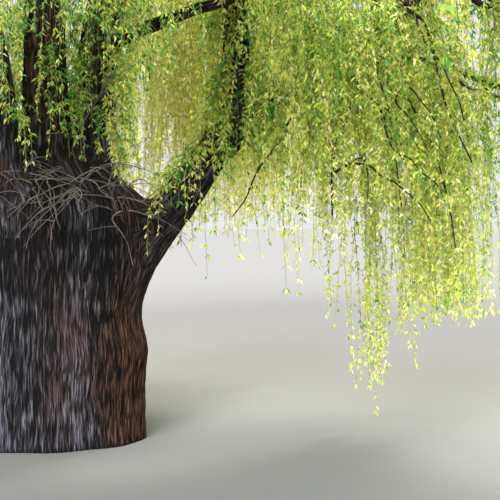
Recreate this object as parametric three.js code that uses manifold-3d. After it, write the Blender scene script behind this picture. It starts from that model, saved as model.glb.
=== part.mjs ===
// An old weeping willow in spring leaf: a short, thick, fluted trunk, boughs that fan out from its top,
// and hanging masses of foliage all round them. Lengths are in millimetres and +Z is up. The origin is at
// the middle of the flat cut under the trunk, and the crown opens towards -Y.
import * as THREE from "three";
import { mergeVertices } from "three/addons/utils/BufferGeometryUtils.js";
import Module from "manifold-3d";

const wasm = await Module();
wasm.setup();

// Trunk.
const TRUNK_RADIUS = 655; // between its swellings, at breast height
const TRUNK_TOP = 1930; // top of the rounded head that the boughs leave
const HEAD_FROM = 1480; // height at which the trunk starts to round off
const HEAD_TO = 2050; // height at which the rounding would end
const HEAD_NARROWS = 0.78;
const HEAD_CURVE = 1.5;
const ROOT_FLARE = 14; // how far the foot swells all round
const FLARE_HEIGHT = 130;

// Crown. Its top is a flattened dome, and its foliage ends at a floor that lifts on the open side. The
// borders between its tiers sink from the middle outwards, so that each tier hangs over the one below.
const DOME_RADIUS = 6250;
const DOME_FOOT = 4200;
const DOME_RISE = 7250;
const BORDER_SINKS = 0.5; // for each unit of distance from the middle
const CROWN_OPENS_TO = -81; // degrees
const LIFT = 2050; // how much higher the foliage ends on that side
const LIFT_WIDTH = 46; // degrees
const SKIRT_FLOOR = 850; // height where the outer foliage ends elsewhere
const FLOOR_SWAY = 260; // how much it rises and falls round the tree
const FLOOR_WAVES = 3;
const FLOOR_TURN = 13; // degrees

// Boughs and leafy stems.
const JOINT_GAP = 0.3; // clearance between neighbouring solids
const SIDE_TIP = 0.55; // tip radius of a side bough, as a share of its foot
const ARCH = 0.11; // how high a side bough arches over its chord, as a share of it
const ARCH_POINTS = [
  [0.33, 0.9],
  [0.68, 1],
]; // how far along the chord, and how much of that height
const SWAY = 60; // how far a bough from the trunk swings off its line
const STEM_SHARE = 0.85; // radius of a leafy stem, as a share of the bough tip that carries it
const STEM_SUNK = 25; // how far that stem starts inside the tip before it is cut clear
const STEM_TAPER = 0.7;
const STEM_OUT = 0.62; // where its highest point is, as a share of the depth of its mass
const STEM_BOW = 0.22; // how much sooner it rises than a straight stem would, as a share of its rise
const STEM_OVER = 0.2; // how far it goes on past its highest point, in spray lengths
const STEM_HANG = 1.5; // how steeply it hangs there

// Twigs.
const SIDE_MARGIN = 3.4; // degrees between the outermost twigs and the side of their sector
const RING_MARGIN = 0.05; // the same inwards and outwards, as a share of the depth of the ring
const BOX_MARGIN = 0.14; // the same for a mass in a box
const TOP_MARGIN = 210; // how far the highest twigs stay under the top of their space
const TOPS_VARY = 420; // how much lower than those the lowest ones arch over
const ROWS = [0.78, 0.08]; // where the outer and the inner row of twigs start, as shares of the depth
const ROW_DEPTH = 0.2;
const SCATTER = 0.4; // how far a twig strays from its even place, in places
const FALL_VARIES = 0.3; // how much shorter than the space allows a twig may hang
const TWIG_BEND = 0.55; // where a twig bends on its way up, as a share of it
const TWIG_BOW = 0.08; // how far it bends up there, as a share of its length
const TWIG_PUSH = 60; // how far outwards a twig goes on as it hangs
const TWIG_END = 3; // the last point of a twig's route
const SHORTEST_ARCH = 110;
const SHORTEST_FALL = 200;
const SEEDS_APART = 100; // from one mass's first seed to the next one's

// Sprays. A spray is one blade that stands for a tuft of narrow leaves.
const SPRAY_THICKNESS = 0.035; // as a share of its length
const SPRAY_WIDEST = 0.4; // where it is widest, as a share of its length
const SPRAY_VARIES = 0.15; // how much longer or shorter than usual it may be
const SPRAY_SUNK = 0.5; // how far its root is sunk past the twig's middle line, in twig radii
const TIP_SUNK = 1.7; // the same for the spray that ends a twig
const SPRAY_TURN = 2.4; // radians from one spray to the next round a twig
const LEAN = 0.3; // how far it leans out from its twig, as a slope
const LEAN_VARIES = 0.2;
const TIP_LEAN = 0.03;
const DROOP = 0.9; // how much more a spray on the arch of a twig points down than the twig does
const SPRAY_TESTS = [0.15, SPRAY_WIDEST, 0.7, 1]; // points along it that must lie in its mass's space
const CLEAR = 30; // least distance from a twig or spray to a limb
const EDGE = 12; // least distance from a mass to the side of its space

// Facets.
const TRUNK_SIDES = 26;
const TRUNK_RINGS = 10;
const BOUGH_SIDES = 6;
const MAIN_RINGS = 7;
const SIDE_RINGS = 4;
const TWIG_SIDES = 3;
const FRAME_TILT = 0.04; // keeps a level limb's first side off its own line
const LIMB_ROLL = 1.25; // radians that a limb's corners are turned round its line
const CHECK_STEPS = 24; // points along a limb that foliage keeps clear of

// Flutes of the trunk: heading in degrees, angular width in radians, swelling in the shaft and at the foot.
const FLUTES = [
  { heading: -4, width: 0.42, shaft: 52, foot: 2 },
  { heading: 48, width: 0.36, shaft: 34, foot: 24 },
  { heading: 97, width: 0.4, shaft: 46, foot: 38 },
  { heading: 150, width: 0.38, shaft: 38, foot: 34 },
  { heading: 200, width: 0.4, shaft: 58, foot: 28 },
  { heading: 248, width: 0.3, shaft: 44, foot: 16 },
  { heading: 284, width: 0.26, shaft: 40, foot: 12 },
  { heading: 322, width: 0.24, shaft: 36, foot: 8 },
];

// Swellings and waists of the shaft: height, half height and size. One with a heading faces only that way.
const SWELLINGS = [
  { height: 620, half: 150, size: 22 },
  { height: 880, half: 170, size: -26 },
  { height: 1400, half: 260, size: 95, heading: -2, width: 0.6 },
  { height: 1330, half: 280, size: 70, heading: 198, width: 0.6 },
];

const COLOURS = {
  bark: { color: 0x4a3b32, roughness: 0.95 },
  shoots: { color: 0x7a6450, roughness: 0.9 },
  lightLeaf: { color: 0xc6cf3e, roughness: 0.7 },
  deepLeaf: { color: 0x6f9a34, roughness: 0.7 },
};

const { degToRad, radToDeg, lerp, smoothstep } = THREE.MathUtils;
const point = (x, y, z) => new THREE.Vector3(x, y, z);

function polar(heading, radius, z) {
  return point(radius * Math.cos(degToRad(heading)), radius * Math.sin(degToRad(heading)), z);
}

// The right-hand bough rises from the shoulder of the trunk, and divides into one limb that turns upright
// and one that goes on outwards.
const RIGHT_BOUGHS = [
  {
    name: "bough_right_low",
    radii: [185, 104],
    route: [point(380, -30, 1080), point(764, -50, 1458), point(1026, -50, 1776), point(1335, -25, 2230)],
  },
  {
    name: "bough_right_rise",
    radii: [103, 44],
    route: [point(1325, -27, 2200), point(1350, 20, 2700), point(1480, 130, 3700), polar(5, 2650, 6750)],
  },
  {
    name: "bough_right_outer",
    radii: [78, 42],
    route: [point(1255, -60, 2085), point(1890, -60, 2570), point(2510, -90, 3020), polar(-5, 3850, 4450)],
  },
];

// The other boughs that leave the trunk: the foot inside it, the tip, the radius at both, and a bow. A
// larger bow keeps the limb upright for longer before it leans out.
const TRUNK_BOUGHS = [
  { name: "stem_right", radii: [172, 48], bow: 2.1, foot: point(345, 40, 1480), tip: polar(50, 2650, 6800) },
  { name: "stem_centre", radii: [168, 40], bow: 1, foot: point(10, -110, 1480), tip: point(0, 0, 8900) },
  { name: "stem_left", radii: [172, 46], bow: 2.1, foot: point(-330, 60, 1480), tip: polar(140, 2650, 6800) },
  { name: "stem_back", radii: [172, 46], bow: 1.7, foot: point(10, 350, 1450), tip: polar(95, 2650, 6800) },
  {
    name: "stem_front", radii: [150, 44], bow: 1.7, foot: point(-220, -370, 1450),
    tip: polar(230, 2650, 6750),
  },
  {
    name: "bough_left", radii: [185, 46], bow: 1.1, foot: point(-400, -80, 1080),
    tip: polar(195, 3850, 4450),
  },
];
const BOUGH_POINTS = 6;

// Boughs that leave the side of another: where along it, the tip, and the radius at the foot.
const SIDE_BOUGHS = [
  { name: "bough_back_right", parent: "stem_right", at: 0.36, tip: polar(35, 3850, 4550), foot: 82 },
  { name: "bough_back_1", parent: "stem_back", at: 0.36, tip: polar(75, 3850, 4600), foot: 84 },
  { name: "bough_back_2", parent: "stem_back", at: 0.46, tip: polar(115, 3850, 4700), foot: 80 },
  { name: "bough_left_back", parent: "stem_left", at: 0.38, tip: polar(155, 3850, 4600), foot: 84 },
  { name: "bough_front_left", parent: "stem_front", at: 0.36, tip: polar(235, 3850, 4650), foot: 80 },
  { name: "bough_front", parent: "stem_front", at: 0.5, tip: polar(275, 3850, 4900), foot: 78 },
  { name: "bough_front_right", parent: "bough_right_rise", at: 0.5, tip: polar(315, 3850, 4700), foot: 70 },
  { name: "bough_mid_left", parent: "stem_left", at: 0.62, tip: polar(185, 2650, 6800), foot: 70 },
  { name: "bough_mid_front", parent: "stem_centre", at: 0.5, tip: polar(275, 2650, 6850), foot: 74 },
  { name: "bough_mid_right", parent: "bough_right_rise", at: 0.7, tip: polar(320, 2650, 6800), foot: 56 },
  { name: "bough_top_right", parent: "stem_centre", at: 0.62, tip: polar(0, 2280, 8950), foot: 60 },
  { name: "bough_top_back", parent: "stem_centre", at: 0.66, tip: polar(90, 2280, 9050), foot: 60 },
  { name: "bough_top_left", parent: "stem_centre", at: 0.7, tip: polar(180, 2280, 9000), foot: 58 },
  { name: "bough_top_front", parent: "stem_centre", at: 0.74, tip: polar(270, 2280, 9050), foot: 56 },
  { name: "branch_inner_right", parent: "bough_right_outer", at: 0.4, tip: polar(-13, 1900, 3060), foot: 36 },
  {
    name: "branch_middle_right", parent: "bough_right_outer", at: 0.58,
    tip: polar(-7, 2390, 3300), foot: 36,
  },
  {
    name: "branch_outer_right", parent: "bough_right_outer", at: 0.72,
    tip: polar(-12, 3100, 3950), foot: 36,
  },
  { name: "branch_inner_front", parent: "stem_centre", at: 0.3, tip: polar(-62, 900, 3900), foot: 44 },
  { name: "branch_inner_left", parent: "stem_front", at: 0.33, tip: polar(208, 1750, 3450), foot: 44 },
  { name: "branch_inner_back", parent: "stem_right", at: 0.4, tip: polar(62, 1850, 3900), foot: 44 },
];

// Each kind of foliage mass. A ring mass keeps to its sector, half an angle either side of its bough's
// heading, between two distances from the middle, and between two borders given by their heights at the
// middle. Past its fringe a mass hangs down to a lower floor, outside the mass under it. Then come its
// twigs and their radius, how far apart the sprays hang on a twig, and the size of a spray.
const KINDS = {
  skirt: {
    half: 20, inside: 3650, outside: 5350, below: 1700, above: 7905,
    twigs: 6, twig: 13, spacing: 1250, length: 1500, width: 400,
  },
  mid: {
    half: 22.5, inside: 2300, outside: 6150, below: 7945, above: 9900, fringe: 5390, fringeFloor: 3150,
    twigs: 6, twig: 13, spacing: 1100, length: 1250, width: 380,
  },
  top: {
    half: 45, inside: 1950, outside: 4900, below: 9940, above: 13000,
    twigs: 6, twig: 11, spacing: 900, length: 950, width: 350,
  },
  crest: {
    half: 180, inside: 0, outside: 1910, below: 9900, above: 13000,
    twigs: 6, twig: 11, spacing: 900, length: 900, width: 330,
  },
  inner: { twigs: 5, twig: 8, spacing: 660, length: 900, width: 200 },
};

const RING_MASSES = [
  { name: "foliage_skirt_right", bough: "bough_right_outer", kind: "skirt" },
  { name: "foliage_skirt_back_right", bough: "bough_back_right", kind: "skirt" },
  { name: "foliage_skirt_back_1", bough: "bough_back_1", kind: "skirt" },
  { name: "foliage_skirt_back_2", bough: "bough_back_2", kind: "skirt" },
  { name: "foliage_skirt_left_back", bough: "bough_left_back", kind: "skirt" },
  { name: "foliage_skirt_left", bough: "bough_left", kind: "skirt" },
  { name: "foliage_skirt_front_left", bough: "bough_front_left", kind: "skirt" },
  { name: "foliage_skirt_front", bough: "bough_front", kind: "skirt" },
  { name: "foliage_skirt_front_right", bough: "bough_front_right", kind: "skirt" },
  { name: "foliage_mid_right", bough: "bough_right_rise", kind: "mid" },
  { name: "foliage_mid_back_right", bough: "stem_right", kind: "mid" },
  { name: "foliage_mid_back", bough: "stem_back", kind: "mid" },
  { name: "foliage_mid_back_left", bough: "stem_left", kind: "mid" },
  { name: "foliage_mid_left", bough: "bough_mid_left", kind: "mid" },
  { name: "foliage_mid_front_left", bough: "stem_front", kind: "mid" },
  { name: "foliage_mid_front", bough: "bough_mid_front", kind: "mid" },
  { name: "foliage_mid_front_right", bough: "bough_mid_right", kind: "mid" },
  { name: "foliage_top_right", bough: "bough_top_right", kind: "top" },
  { name: "foliage_top_back", bough: "bough_top_back", kind: "top" },
  { name: "foliage_top_left", bough: "bough_top_left", kind: "top" },
  { name: "foliage_top_front", bough: "bough_top_front", kind: "top" },
  { name: "foliage_crest", bough: "stem_centre", kind: "crest" },
];

// The masses that hang inside the ring: each keeps to a box between two corners, and hangs down to a floor.
const INNER_MASSES = [
  {
    name: "foliage_inner_right", bough: "branch_inner_right", kind: "inner",
    low: point(1480, -1150, 700), high: point(2110, 300, 3500), floor: 1000,
  },
  {
    name: "foliage_middle_right", bough: "branch_middle_right", kind: "inner",
    low: point(2130, -700, 280), high: point(2760, 900, 3900), floor: 320,
  },
  {
    name: "foliage_outer_right", bough: "branch_outer_right", kind: "inner",
    low: point(2780, -1150, 800), high: point(3450, 300, 4300), floor: 900,
  },
  {
    name: "foliage_inner_front", bough: "branch_inner_front", kind: "inner",
    low: point(-300, -1700, 2200), high: point(1100, -620, 4400), floor: 2250,
  },
  {
    name: "foliage_inner_left", bough: "branch_inner_left", kind: "inner",
    low: point(-2700, -1700, 1250), high: point(-1300, -300, 4000), floor: 1300,
  },
  {
    name: "foliage_inner_back", bough: "branch_inner_back", kind: "inner",
    low: point(300, 1150, 1400), high: point(1850, 2600, 4400), floor: 1450,
  },
];

// Bare shoots that spring from the shoulder of the trunk on a short stem, fan out, climb and droop.
const SHOOTS = {
  name: "trunk_shoots",
  heading: -62,
  height: 1640,
  reach: 330,
  radii: [17, 6],
  sag: 20,
  twigs: 8,
  twigRadii: [7, 3],
  shortest: 430,
  longest: 880,
  fan: 190, // degrees from side to side
  leftOf: 0.62, // the share of that to the left of the stem
  climb: 0.5,
  leastDroop: 0.6,
  mostDroop: 1.2,
  seed: 9000,
};
const SHOOT_POINTS = [0, 0.35, 0.7, 1]; // as shares of a shoot's length

// A seeded run of numbers from 0 to 1, the same on every machine.
function draws(seed) {
  let state = Math.imul(seed + 1, 2654435761) >>> 0;
  return () => {
    state = (Math.imul(state, 1664525) + 1013904223) >>> 0;
    return (state >>> 8) / 2 ** 24;
  };
}

const bump = (value, half) => Math.exp(-((value / half) ** 2));
const headingOf = (at) => radToDeg(Math.atan2(at.y, at.x));
const turnBetween = (a, b) => Math.atan2(Math.sin(a - b), Math.cos(a - b));
const curveOf = (route) => new THREE.CatmullRomCurve3(route, false, "catmullrom", 0.5);

// The trunk's radius at an angle, in radians from +X, and a height.
function trunkRadius(angle, z) {
  const foot = Math.exp(-z / FLARE_HEIGHT);
  let radius = TRUNK_RADIUS + ROOT_FLARE * foot;
  for (const flute of FLUTES) {
    const facing = bump(turnBetween(angle, degToRad(flute.heading)), flute.width);
    radius += facing * (flute.shaft + flute.foot * foot);
  }
  for (const swelling of SWELLINGS) {
    const turn = turnBetween(angle, degToRad(swelling.heading ?? 0));
    const facing = swelling.heading === undefined ? 1 : bump(turn, swelling.width);
    radius += facing * swelling.size * bump(z - swelling.height, swelling.half);
  }
  return radius * Math.sqrt(1 - HEAD_NARROWS * smoothstep(z, HEAD_FROM, HEAD_TO) ** HEAD_CURVE);
}

// The height of the crown's top at a distance from its middle.
function domeHeight(radius) {
  return DOME_FOOT + DOME_RISE * Math.sqrt(Math.max(0, 1 - (radius / DOME_RADIUS) ** 2));
}

// The height where the outer foliage ends at a heading, in degrees.
function skirtFloor(heading) {
  const off = radToDeg(turnBetween(degToRad(heading), degToRad(CROWN_OPENS_TO)));
  const sway = (1 + Math.sin(degToRad(FLOOR_WAVES * (heading + FLOOR_TURN)))) / 2;
  return SKIRT_FLOOR + FLOOR_SWAY * sway + LIFT * bump(off, LIFT_WIDTH);
}

// A many-sided column whose points are moved to place(share of its height, angle).
function shapedColumn(sides, rings, place) {
  const middle = new THREE.Vector2();
  const corner = (_, i) => new THREE.Vector2(1, 0).rotateAround(middle, (i * 2 * Math.PI) / sides);
  const section = new THREE.Shape(Array.from({ length: sides }, corner));
  const geometry = new THREE.ExtrudeGeometry(section, { depth: 1, steps: rings, bevelEnabled: false });
  const position = geometry.getAttribute("position");
  for (let i = 0; i < position.count; i++) {
    const moved = place(position.getZ(i), Math.atan2(position.getY(i), position.getX(i)));
    position.setXYZ(i, moved.x, moved.y, moved.z);
  }
  return geometry;
}

// The trunk. extra swells it all round, to cut a neighbour clear of it.
function trunkGeometry(extra) {
  return shapedColumn(TRUNK_SIDES, TRUNK_RINGS, (share, angle) => {
    const z = share * TRUNK_TOP;
    const radius = trunkRadius(angle, z) + extra;
    return point(radius * Math.cos(angle), radius * Math.sin(angle), share < 1 ? z : z + extra);
  });
}

// A frame at each point of a line, turned with the line and not twisted round it. roll turns them all.
function framesAlong(points, roll) {
  let normal = point(Math.cos(roll), Math.sin(roll), FRAME_TILT);
  return points.map((_, i) => {
    const before = points[Math.max(i - 1, 0)];
    const tangent = points[Math.min(i + 1, points.length - 1)].clone().sub(before).normalize();
    normal = normal.clone().addScaledVector(tangent, -normal.dot(tangent)).normalize();
    return { tangent, normal, binormal: new THREE.Vector3().crossVectors(tangent, normal) };
  });
}

// A limb that tapers from the first point of a line to the last. extra swells it in the same way.
function limbGeometry(points, radii, sides, extra = 0, roll = LIMB_ROLL) {
  const rings = points.length - 1;
  const frames = framesAlong(points, roll);
  return shapedColumn(sides, rings, (share, angle) => {
    const ring = Math.round(share * rings);
    const { tangent, normal, binormal } = frames[ring];
    const radius = lerp(radii[0], radii[1], share) + extra;
    const past = { 0: -extra, [rings]: extra }[ring] ?? 0;
    return points[ring]
      .clone()
      .addScaledVector(tangent, past)
      .addScaledVector(normal, radius * Math.cos(angle))
      .addScaledVector(binormal, radius * Math.sin(angle));
  });
}

// A spray is pointed at both ends and has eight faces.
function sprayGeometry({ base, direction, across, length, width }) {
  const geometry = new THREE.OctahedronGeometry(1, 0);
  const position = geometry.getAttribute("position");
  const flat = across.clone().addScaledVector(direction, -across.dot(direction)).normalize();
  const thick = new THREE.Vector3().crossVectors(flat, direction);
  for (let i = 0; i < position.count; i++) {
    const atEnd = Math.abs(position.getY(i)) > 0.5;
    const share = atEnd ? (position.getY(i) + 1) / 2 : SPRAY_WIDEST;
    const moved = base
      .clone()
      .addScaledVector(direction, share * length)
      .addScaledVector(flat, (position.getX(i) * width) / 2)
      .addScaledVector(thick, (position.getZ(i) * length * SPRAY_THICKNESS) / 2);
    position.setXYZ(i, moved.x, moved.y, moved.z);
  }
  return geometry;
}

function solidOf(geometry) {
  const bare = new THREE.BufferGeometry();
  bare.setAttribute("position", geometry.getAttribute("position"));
  if (geometry.index) bare.setIndex(geometry.index);
  const merged = mergeVertices(bare, 1e-3);
  return new wasm.Manifold(
    new wasm.Mesh({
      numProp: 3,
      vertProperties: new Float32Array(merged.attributes.position.array),
      triVerts: new Uint32Array(merged.index.array),
    }),
  );
}

// The largest body of a solid, without the scraps that a cut leaves.
const mainBody = (solid) => solid.decompose().sort((a, b) => b.volume() - a.volume())[0];

function meshOf(name, solid, look) {
  const { numProp, numVert, vertProperties, triVerts } = solid.getMesh();
  const positions = new Float32Array(numVert * 3);
  for (let i = 0; i < numVert; i++) {
    positions.set(vertProperties.subarray(i * numProp, i * numProp + 3), i * 3);
  }
  const geometry = new THREE.BufferGeometry();
  geometry.setAttribute("position", new THREE.BufferAttribute(positions, 3));
  geometry.setIndex(new THREE.BufferAttribute(new Uint32Array(triVerts), 1));
  const mesh = new THREE.Mesh(geometry, new THREE.MeshStandardMaterial({ ...look, metalness: 0 }));
  mesh.name = name;
  return mesh;
}

// The route of a bough that leaves the trunk.
function trunkBoughRoute({ foot, tip, bow }) {
  const aside = polar(headingOf(tip) + 90, SWAY, 0);
  return Array.from({ length: BOUGH_POINTS }, (_, i) => {
    const share = i / (BOUGH_POINTS - 1);
    const at = foot.clone().lerp(tip, share ** bow);
    at.z = lerp(foot.z, tip.z, share);
    return at.addScaledVector(aside, Math.sin(share * Math.PI * 2));
  });
}

// The route of a bough that leaves another: it arches to its tip.
function sideBoughRoute({ at, tip }, parent) {
  const start = parent.curve.getPoint(at);
  const arch = start.distanceTo(tip) * ARCH;
  const along = (share, up) => start.clone().lerp(tip, share).add(point(0, 0, up * arch));
  return [start, ...ARCH_POINTS.map(([share, up]) => along(share, up)), tip];
}

// Every bough by name, with its curve and the points that foliage keeps clear of.
function allBoughs() {
  const boughs = new Map();
  const add = (name, route, radii, rings) => {
    const curve = curveOf(route);
    const checks = curve.getPoints(CHECK_STEPS).map((middle, i) => ({
      middle,
      radius: lerp(radii[0], radii[1], i / CHECK_STEPS),
    }));
    boughs.set(name, { name, curve, radii, line: curve.getSpacedPoints(rings), checks });
  };
  for (const bough of RIGHT_BOUGHS) add(bough.name, bough.route, bough.radii, MAIN_RINGS);
  for (const bough of TRUNK_BOUGHS) add(bough.name, trunkBoughRoute(bough), bough.radii, MAIN_RINGS);
  for (const bough of SIDE_BOUGHS) {
    const route = sideBoughRoute(bough, boughs.get(bough.parent));
    add(bough.name, route, [bough.foot, bough.foot * SIDE_TIP], SIDE_RINGS);
  }
  return boughs;
}

// The lowest and highest that a ring mass reaches at a distance from the middle.
function ringBorders(kind, radius) {
  const sunk = BORDER_SINKS * radius;
  const lowest = radius > kind.fringe ? kind.fringeFloor : kind.below - sunk;
  return [lowest, Math.min(kind.above - sunk, domeHeight(radius))];
}

// Whether a point lies in the space that a mass keeps to.
function isInside(mass, kind, at) {
  if (mass.low) return new THREE.Box3(mass.low, mass.high).containsPoint(at);
  const radius = Math.hypot(at.x, at.y);
  const turn = Math.abs(turnBetween(Math.atan2(at.y, at.x), degToRad(mass.heading)));
  const beside = kind.half < 180 ? radius * Math.sin(degToRad(kind.half) - turn) : 2 * EDGE;
  const [lowest, highest] = ringBorders(kind, radius);
  return beside > EDGE && radius > kind.inside && radius < kind.outside && at.z > lowest && at.z < highest;
}

// Whether a point comes close to the trunk, or to any bough but the one named.
function touchesLimb(at, boughs, own) {
  const fromAxis = Math.hypot(at.x, at.y);
  if (at.z < TRUNK_TOP + CLEAR && fromAxis < trunkRadius(Math.atan2(at.y, at.x), at.z) + CLEAR) return true;
  const isNear = ({ middle, radius }) => middle.distanceTo(at) < radius + CLEAR;
  return [...boughs.values()].some(({ name, checks }) => name !== own && checks.some(isNear));
}

// The top of a hanging twig in the space of a mass: across runs from -1 to 1, and out and lower from 0 to 1.
function hangingPoint(mass, kind, across, out, lower) {
  const under = TOP_MARGIN + TOPS_VARY * lower;
  if (mass.low) {
    const x = lerp(mass.low.x, mass.high.x, 0.5 + (0.5 - BOX_MARGIN) * across);
    const y = lerp(mass.low.y, mass.high.y, lerp(BOX_MARGIN, 1 - BOX_MARGIN, out));
    return point(x, y, mass.high.z - under);
  }
  const heading = mass.heading + across * (kind.half - SIDE_MARGIN);
  const radius = lerp(kind.inside, kind.outside, lerp(RING_MARGIN, 1 - RING_MARGIN, out));
  return polar(heading, radius, ringBorders(kind, radius)[1] - under);
}

// The height that a mass hangs down to at a point.
function floorUnder(mass, kind, at) {
  if (mass.kind === "skirt") return skirtFloor(headingOf(at));
  return mass.floor ?? ringBorders(kind, Math.hypot(at.x, at.y))[0];
}

// The stem of a mass leaves the tip of its bough, arches out and hangs over.
function stemRoute(mass, kind, bough) {
  const tip = bough.curve.getPoint(1);
  const sunk = tip.clone().addScaledVector(bough.curve.getTangent(1), -STEM_SUNK);
  const top = hangingPoint(mass, kind, 0, STEM_OUT, 0);
  const rise = tip.clone().lerp(top, 0.5).add(point(0, 0, STEM_BOW * (top.z - tip.z)));
  const onward = top.clone().sub(tip).setZ(0).setLength(STEM_OVER * kind.length);
  return [sunk, rise, top, top.clone().add(onward).setZ(top.z - STEM_HANG * onward.length())];
}

// A twig leaves the stem, arches to its hanging point and hangs down from it.
function twigRoute(start, top, fall) {
  const out = top.clone().sub(start).setZ(0).normalize();
  const bend = start.clone().lerp(top, TWIG_BEND).add(point(0, 0, TWIG_BOW * start.distanceTo(top)));
  return [start, bend, top, top.clone().addScaledVector(out, TWIG_PUSH).add(point(0, 0, -fall))];
}

// The places of the sprays on a twig, counted in points of its route: some on the arch before its hanging
// point, and the others spaced evenly up from the end.
function sprayPlaces(kind, arch, fall) {
  const arching = Math.ceil(arch / 2 / kind.spacing);
  const hanging = Math.max(1, Math.round(fall / kind.spacing));
  return [
    ...Array.from({ length: arching }, (_, j) => 1 + (j + 0.5) / arching),
    ...Array.from({ length: hanging }, (_, j) => TWIG_END - j / hanging),
  ];
}

// One spray on a twig. It leans out to one side, or carries the twig on at its end.
function sprayOn(kind, route, place, turn, draw) {
  const before = Math.min(Math.floor(place), TWIG_END - 1);
  const last = place === TWIG_END;
  const beside = point(Math.cos(turn), Math.sin(turn), 0);
  const direction = route[before + 1].clone().sub(route[before]).normalize();
  direction.addScaledVector(beside, last ? TIP_LEAN : LEAN + LEAN_VARIES * draw());
  direction.z -= place < 2 ? DROOP : 0;
  direction.normalize();
  const size = lerp(1 - SPRAY_VARIES, 1 + SPRAY_VARIES, draw());
  const foot = route[before].clone().lerp(route[before + 1], place - before);
  return {
    base: foot.addScaledVector(direction, -kind.twig * (last ? TIP_SUNK : SPRAY_SUNK)),
    direction,
    across: point(-Math.sin(turn), Math.cos(turn), 0),
    length: kind.length * size,
    width: kind.width * size,
  };
}

// Whether a spray keeps to its mass's space and clear of the limbs.
function sprayFits(mass, kind, spray, boughs) {
  const along = (share) => spray.base.clone().addScaledVector(spray.direction, share * spray.length);
  const edge = (side) => along(SPRAY_WIDEST).addScaledVector(spray.across, (side * spray.width) / 2);
  const tests = [...SPRAY_TESTS.map(along), edge(-1), edge(1)];
  return tests.every((at) => isInside(mass, kind, at) && !touchesLimb(at, boughs, ""));
}

// The stem, twigs and sprays of a mass by the seeded rule: the twigs share out its space evenly from side
// to side, in turn far and near. What would leave the space or touch a limb is skipped.
function growMass(mass, index, boughs) {
  const kind = KINDS[mass.kind];
  const fits = (at) => isInside(mass, kind, at) && !touchesLimb(at, boughs, mass.bough);
  const grown = { stem: stemRoute(mass, kind, boughs.get(mass.bough)), twigs: [], sprays: [] };
  for (let k = 0; k < kind.twigs; k++) {
    const draw = draws(index * SEEDS_APART + k);
    const across = ((k + 0.5 + SCATTER * (draw() - 0.5)) / kind.twigs) * 2 - 1;
    const out = ROWS[k % 2] + ROW_DEPTH * draw();
    const top = hangingPoint(mass, kind, across, out, draw());
    const room = top.z - floorUnder(mass, kind, top) - kind.length * (1 + SPRAY_VARIES);
    const fall = Math.max(room * (1 - FALL_VARIES * draw()), SHORTEST_FALL);
    const start = grown.stem[1].clone().lerp(grown.stem[2], out);
    const arch = start.distanceTo(top);
    const route = twigRoute(start, top, fall);
    const turn = draw() * Math.PI * 2;
    if (arch < SHORTEST_ARCH || !route.slice(1).every(fits)) continue;
    grown.twigs.push({ route, roll: turn });
    sprayPlaces(kind, arch, fall).forEach((place, j) => {
      const spray = sprayOn(kind, route, place, turn + j * SPRAY_TURN, draw);
      if (sprayFits(mass, kind, spray, boughs)) grown.sprays.push(spray);
    });
  }
  return grown;
}

function massSolid(mass, index, boughs) {
  const { stem, twigs, sprays } = growMass(mass, index, boughs);
  const radius = KINDS[mass.kind].twig;
  const stemRadius = boughs.get(mass.bough).radii[1] * STEM_SHARE;
  const pieces = [limbGeometry(stem, [stemRadius, stemRadius * STEM_TAPER], TWIG_SIDES)];
  for (const { route, roll } of twigs) {
    pieces.push(limbGeometry(route, [radius, radius], TWIG_SIDES, 0, roll));
  }
  for (const spray of sprays) pieces.push(sprayGeometry(spray));
  return wasm.Manifold.union(pieces.map(solidOf));
}

// The bare shoots on their stem.
function shootsSolid() {
  const radius = trunkRadius(degToRad(SHOOTS.heading), SHOOTS.height);
  const root = polar(SHOOTS.heading, radius - 2 * STEM_SUNK, SHOOTS.height);
  const end = polar(SHOOTS.heading, radius + SHOOTS.reach, SHOOTS.height + SHOOTS.reach);
  const middle = root.clone().lerp(end, 0.5).add(point(0, 0, -SHOOTS.sag));
  const pieces = [limbGeometry([root, middle, end], SHOOTS.radii, TWIG_SIDES)];
  for (let k = 0; k < SHOOTS.twigs; k++) {
    const draw = draws(SHOOTS.seed + k);
    const side = ((k * 2) % SHOOTS.twigs) / SHOOTS.twigs - SHOOTS.leftOf;
    const heading = SHOOTS.heading + side * SHOOTS.fan;
    const length = lerp(SHOOTS.shortest, SHOOTS.longest, draw());
    const droop = lerp(SHOOTS.leastDroop, SHOOTS.mostDroop, draw());
    const start = middle.clone().lerp(end, k / SHOOTS.twigs);
    const route = SHOOT_POINTS.map((share) => {
      const up = SHOOTS.climb * share - droop * share ** 2;
      return start.clone().add(polar(heading, share * length, up * length));
    });
    pieces.push(limbGeometry(route, SHOOTS.twigRadii, TWIG_SIDES, 0, heading));
  }
  return wasm.Manifold.union(pieces.map(solidOf));
}

const boughs = allBoughs();
const tree = new THREE.Group();
tree.add(meshOf("trunk", solidOf(trunkGeometry(0)), COLOURS.bark));

// Each bough is cut clear of the trunk and of the boughs before it.
const cutters = [solidOf(trunkGeometry(JOINT_GAP))];
for (const { name, line, radii } of boughs.values()) {
  let solid = solidOf(limbGeometry(line, radii, BOUGH_SIDES));
  for (const cutter of cutters) solid = solid.subtract(cutter);
  cutters.push(solidOf(limbGeometry(line, radii, BOUGH_SIDES, JOINT_GAP)));
  tree.add(meshOf(name, mainBody(solid), COLOURS.bark));
}

// Each mass is cut clear of the boughs, so that its stem meets the tip of its own with the joint gap.
[...RING_MASSES, ...INNER_MASSES].forEach((mass, index) => {
  const heading = headingOf(boughs.get(mass.bough).curve.getPoint(1));
  let solid = massSolid({ ...mass, heading }, index, boughs);
  for (const cutter of cutters) solid = solid.subtract(cutter);
  tree.add(meshOf(mass.name, mainBody(solid), index % 2 ? COLOURS.lightLeaf : COLOURS.deepLeaf));
});

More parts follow.
